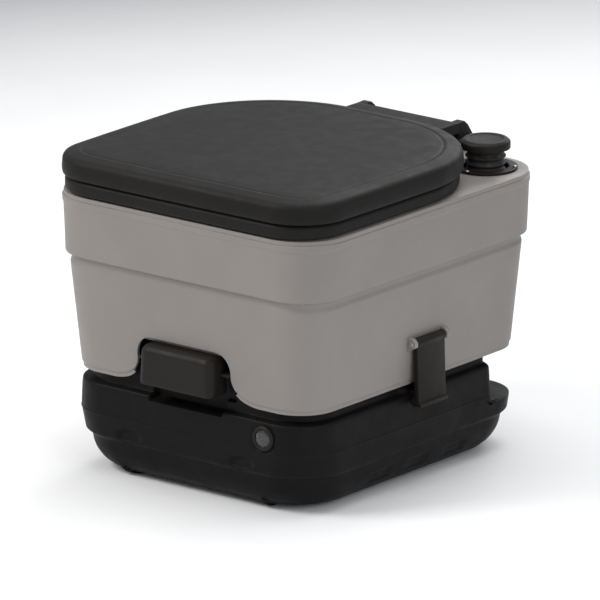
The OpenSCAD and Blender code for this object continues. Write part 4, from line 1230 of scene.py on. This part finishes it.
def build_small():
    # ---- deck, softened from its CAD form
    soften("top_deck", 0.9, SHELL, 3, 30)
    # ---- rubber feet: dished pads with a raised ring
    feet = []
    for sx_ in (-1, 1):
        for sy_ in (-1, 1):
            prof = fillet([(0, 0.7), (5.0, 0.7), (6.0, 0.0), (13.4, 0.0), (15.0, 1.4), (15.0, 3.05), (0, 3.05)], [0, 0.8, 0.5, 1.0, 0.9, 0.2, 0])
            feet.append(lathe_raw("foot", prof, (sx_ * 96.0, YC + sy_ * 118.0, 0), "z", 56))
    put(join(feet, "rubber_feet_pads"), "waste_unit", RUBBER, "rubber_feet", 35)
    # ---- slide valve
    soften("valve_frame", 0.4, TANK, 2, 40)
    soften("valve_cover", 0.5, TANK, 2, 40)
    soften("blade_seal", 0.25, RUBBER, 2, 40)
    soften("bowl_seal", 0.5, RUBBER, 2, 40)
    soften("valve_blade", 0.3, TRIM, 2, 40)
    heads = [screw_raw(sx_ * 66.6, y, SCREW_Z, 3.2, 1.9) for sx_ in (-1, 1) for y in (-118.0, -30.0, 46.0)]
    put(join(heads, "valve_screw_heads"), "waste_unit", STEEL, "valve_screws", 40)
    heads = [screw_raw(x, -178.0, 138.0, 3.4, 1.9) for x in (-30.0, 30.0)]
    put(join(heads, "handle_screw_heads"), "valve", STEEL, "handle_screws", 40)

    def shorter(ob):
        # the grip's lower edge stands clear of the tank's shoulder
        for v in ob.data.vertices:
            z = v.co.z / MM
            if z < 128.0 and v.co.y / MM < -168.0:
                v.co.z += 4.5 * MM * float(smooth(128.0, 112.0, z))
    remeshed("valve_handle", 0.85, 5, TRIM, extra=shorter)
    # ---- pouring spout and its cap
    remeshed("pour_spout", 1.0, 6, TANK)
    soften("spout_o_ring", 0.4, RUBBER, 3, 40)
    soften("spout_gasket", 0.3, RUBBER, 2, 40)
    prof = fillet([(0, 86.7), (20.5, 86.7), (20.5, 69.2), (22.6, 69.2), (22.6, 90.0), (17.5, 90.0), (16.5, 89.3), (0, 89.3)], [0, 0.4, 0.3, 0.5, 2.0, 0.5, 0.5, 0])
    cap = lathe_raw("cap", prof, (0, SY, SZ), "x", 240, ribs(12, 1.3, 69.4, 89.0, 21.5))
    bar = rbox_raw("bar", (86.9, SY - 16.8, SZ - 3.3), (97.8, SY + 16.8, SZ + 3.3), 2.2, 5, 4)
    put(join([cap, bar], "spout_cap_grip"), "spout_closure", TRIM, "spout_cap", 40)
    # ---- vent
    lathe("vent_collar", fillet([(2.4, 118.0), (6.2, 118.0), (6.2, 134.0), (11.4, 134.0), (11.4, 130.0), (14.0, 129.8), (14.0, 126.05), (7.8, 126.0), (7.8, 114.2), (2.4, 114.2), (2.4, 118.0)],
                                [0, 0.2, 0.6, 1.0, 0.8, 0.8, 0.1, 0.1, 0.8, 0.3, 0]), (114.0, 40.0, 0), "z", "waste_unit", TRIM, "vent_body", 72)
    lathe("vent_push_button", fillet([(0, 120.05), (2.1, 120.05), (2.1, 130.1), (5.9, 130.1), (5.9, 140.2), (3.6, 140.9), (3.2, 140.5), (0, 140.3)], [0, 0.5, 0.2, 0.3, 1.3, 0.4, 0.4, 0]),
          (114.0, 40.0, 0), "z", "vent", RED, "vent_button", 64)
    coil = helix("vent_coil", 4.75, 0.5, 118.75, 129.35, 5.5, (114.0, 40.0))
    put(coil, "waste_unit", STEEL, "vent_spring", 60)
    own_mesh(coil)
    # ---- level window
    bez = lathe_raw("bezel", fillet([(7.0, LY + 8.9), (8.7, LY + 8.9), (8.7, LY + 0.5), (13.0, LY + 0.5), (13.0, LY - 1.6), (11.4, LY - 3.0), (9.6, LY - 3.0), (9.0, LY - 2.4), (9.0, LY - 1.1), (7.0, LY - 1.1), (7.0, LY + 8.9)],
                                    [0, 0.4, 0.1, 0.4, 1.2, 0.8, 0.4, 0.2, 0.1, 0.2, 0]), (LX, 0, LZ), "y", 80)
    put(bez, "waste_unit", TRIM, "level_bezel", 40)
    lathe("level_window", fillet([(0, LY - 1.2), (8.9, LY - 1.2), (8.9, LY - 2.0), (6.0, LY - 2.75), (0, LY - 3.0)], [0, 0.1, 0.4, 2.0, 0]), (LX, 0, LZ), "y", "waste_unit", CLEAR, "level_lens", 64)
    soften("level_float", 0.4, RED, 2, 40)
    # ---- inside the flush tank
    soften("tank_floor", 0.4, SHELL, 2, 40)
    soften("flush_pipe", 0.0, NATURAL, 2, 40)
    soften("flush_spreader", 0.5, BOWL, 2, 40)
    soften("pump_valve_body", 0.3, TRIM, 2, 40)
    soften("suction_pipe", 0.0, NATURAL, 2, 40)
    soften("filler_strainer", 0.25, NATURAL, 2, 50)
    # ---- pump
    soften("pump_housing", 0.6, TRIM, 3, 40)
    heads = []
    for a in (30, 150, 270):
        heads.append(screw_raw(PX + 29.6 * math.cos(math.radians(a)), PY + 29.6 * math.sin(math.radians(a)), 290.5, 2.3, 1.3))
    put(join(heads, "pump_screw_heads"), "flush_unit", STEEL, "pump_screws", 40)
    r1, folds, z0, z1 = 21.0, 8, 255.1, 311.9
    h = (z1 - z0) / folds
    out, inn = [], []
    for i in range(folds):
        out += [(r1 - 4, z0 + i * h), (r1, z0 + (i + 0.5) * h)]
        inn += [(r1 - 5.5, z0 + i * h), (r1 - 1.5, z0 + (i + 0.5) * h)]
    out.append((r1 - 4, z1))
    inn.append((r1 - 5.5, z1))
    loop = out + inn[::-1]
    prof = fillet(loop, [0.2] + [0.9] * (len(out) - 2) + [0.2, 0.2] + [0.9] * (len(inn) - 2) + [0.2], closed=True, step=0.4)
    prof = np.vstack([prof, prof[:1]])
    bel = lathe_raw("bellows", prof, (PX, PY, 0), "z", 120)
    put(bel, "flush_unit", RUBBER, "pump_bellows", 60)
    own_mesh(bel)
    prof = fillet([(0, 312.0), (22.4, 312.0), (22.4, 309.1), (25.0, 309.1), (25.0, 316.2), (22.0, 318.8), (18.5, 318.9), (17.6, 318.1), (15.5, 317.9), (0, 317.2)],
                  [0, 0.3, 0.3, 0.6, 2.2, 1.2, 0.5, 0.5, 2.0, 0])
    lathe("pump_head", prof, (PX, PY, 0), "z", "pump", TRIM, "pump_knob", 144, ribs(48, 0.0, 309.6, 316.5, 24.0))
    # ---- filler
    prof = fillet([(17.0, 280.1), (21.8, 280.1), (21.8, 288.05), (29.0, 288.05), (29.0, 290.4), (20.0, 290.4), (20.0, 300.0), (17.0, 300.0), (17.0, 280.1)],
                  [0, 0.5, 0.1, 0.3, 0.9, 0.8, 0.6, 0.4, 0])
    lathe("filler_neck_turned", prof, (-PX, PY, 0), "z", "flush_unit", NATURAL, "filler_neck", 96)
    soften("filler_gasket", 0.3, RUBBER, 2, 40)
    prof = fillet([(0, 303.2), (20.5, 303.2), (20.5, 292.6), (25.4, 292.6), (25.4, 308.0), (20.4, 308.0), (19.2, 307.2), (0, 307.2)], [0, 0.4, 0.3, 0.5, 2.4, 0.6, 0.6, 0])
    cap = lathe_raw("cap", prof, (-PX, PY, 0), "z", 288, ribs(18, 1.4, 292.8, 306.6, 24.0))
    bar = rbox_raw("bar", (-PX - 18.2, PY - 3.1, 303.4), (-PX + 18.2, PY + 3.1, 312.9), 2.2, 5, 4)
    put(join([cap, bar], "filler_cap_grip"), "filler", TRIM, "filler_cap", 40)
    # ---- water gauge window
    soften("water_gauge", 0.3, CLEAR, 2, 40)
    # ---- hinge pins, bumpers
    pins = []
    for s in (-1, 1):
        pf = fillet([(0, 35.6), (3.0, 35.6), (3.0, 73.0), (4.9, 73.0), (4.9, 73.5), (3.4, 74.0), (0, 74.1)], [0, 0.5, 0.1, 0.2, 0.4, 0.4, 0])
        if s < 0:
            pf = [(r, -x) for r, x in pf][::-1]
        pins.append(lathe_raw("pin", pf, (0, YH, ZH), "x", 40))
    put(join(pins, "hinge_pin_pair"), "flush_unit", STEEL, "hinge_pins", 40)
    for nm, k, r, za, zb, body in (("seat_bumpers", 1.0, 8.0, 288.05, 290.1, "seat_unit"), ("lid_bumpers", 0.97, 6.0, 304.15, 324.0, "lid_unit")):
        ob = [lathe_raw("b", fillet([(0, za), (r * 0.93, za), (r * 0.96, zb), (0, zb)], [0, min(1.2, r * 0.3), 0.2, 0]), (s * bx * k, y, 0), "z", 40) for s in (-1, 1) for bx, y in ((142.0, -150.0), (122.0, 60.0))]
        put(join(ob, nm + "_pads"), body, RUBBER, nm, 40)
    # ---- latches
    for s in ("left", "right"):
        soften("latch_" + s, 0.9, TRIM, 3, 30)
    pins = [lathe_raw("pin", fillet([(0, -30.0), (2.5, -30.0), (2.5, 30.0), (0, 30.0)], [0, 0.6, 0.6, 0]), (s * 163.5, 0, 150.0), "y", 32) for s in (-1, 1)]
    put(join(pins, "latch_pin_pair"), "flush_unit", STEEL, "latch_pins", 40)


def helix(name, R, r, z0, z1, turns, c, n=16, per=40):
    """Coil spring with ends that close flat."""
    k = int(turns * per)
    verts, faces = [], []
    for i in range(k + 1):
        t = i / k
        th = 2 * math.pi * turns * t
        # end turns lie almost flat
        u = float(np.interp(t, [0, 0.12, 0.88, 1], [0, 0.05, 0.95, 1]))
        ctr = np.array([c[0] + R * math.cos(th), c[1] + R * math.sin(th), z0 + (z1 - z0) * u])
        er = np.array([math.cos(th), math.sin(th), 0])
        for j in range(n):
            a = 2 * math.pi * j / n
            verts.append(ctr + r * (math.cos(a) * er + math.sin(a) * np.array([0, 0, 1])))
    for i in range(k):
        for j in range(n):
            j2 = (j + 1) % n
            faces.append((i * n + j, i * n + j2, (i + 1) * n + j2, (i + 1) * n + j))
    faces.append(tuple(range(n))[::-1])
    faces.append(tuple(k * n + j for j in range(n)))
    return raw(name, verts, faces)


SCREW_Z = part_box("valve_screws")[1].z / MM - 1.8
build_lid()
build_seat()
build_casing()
build_tank()
build_bowl()
build_small()
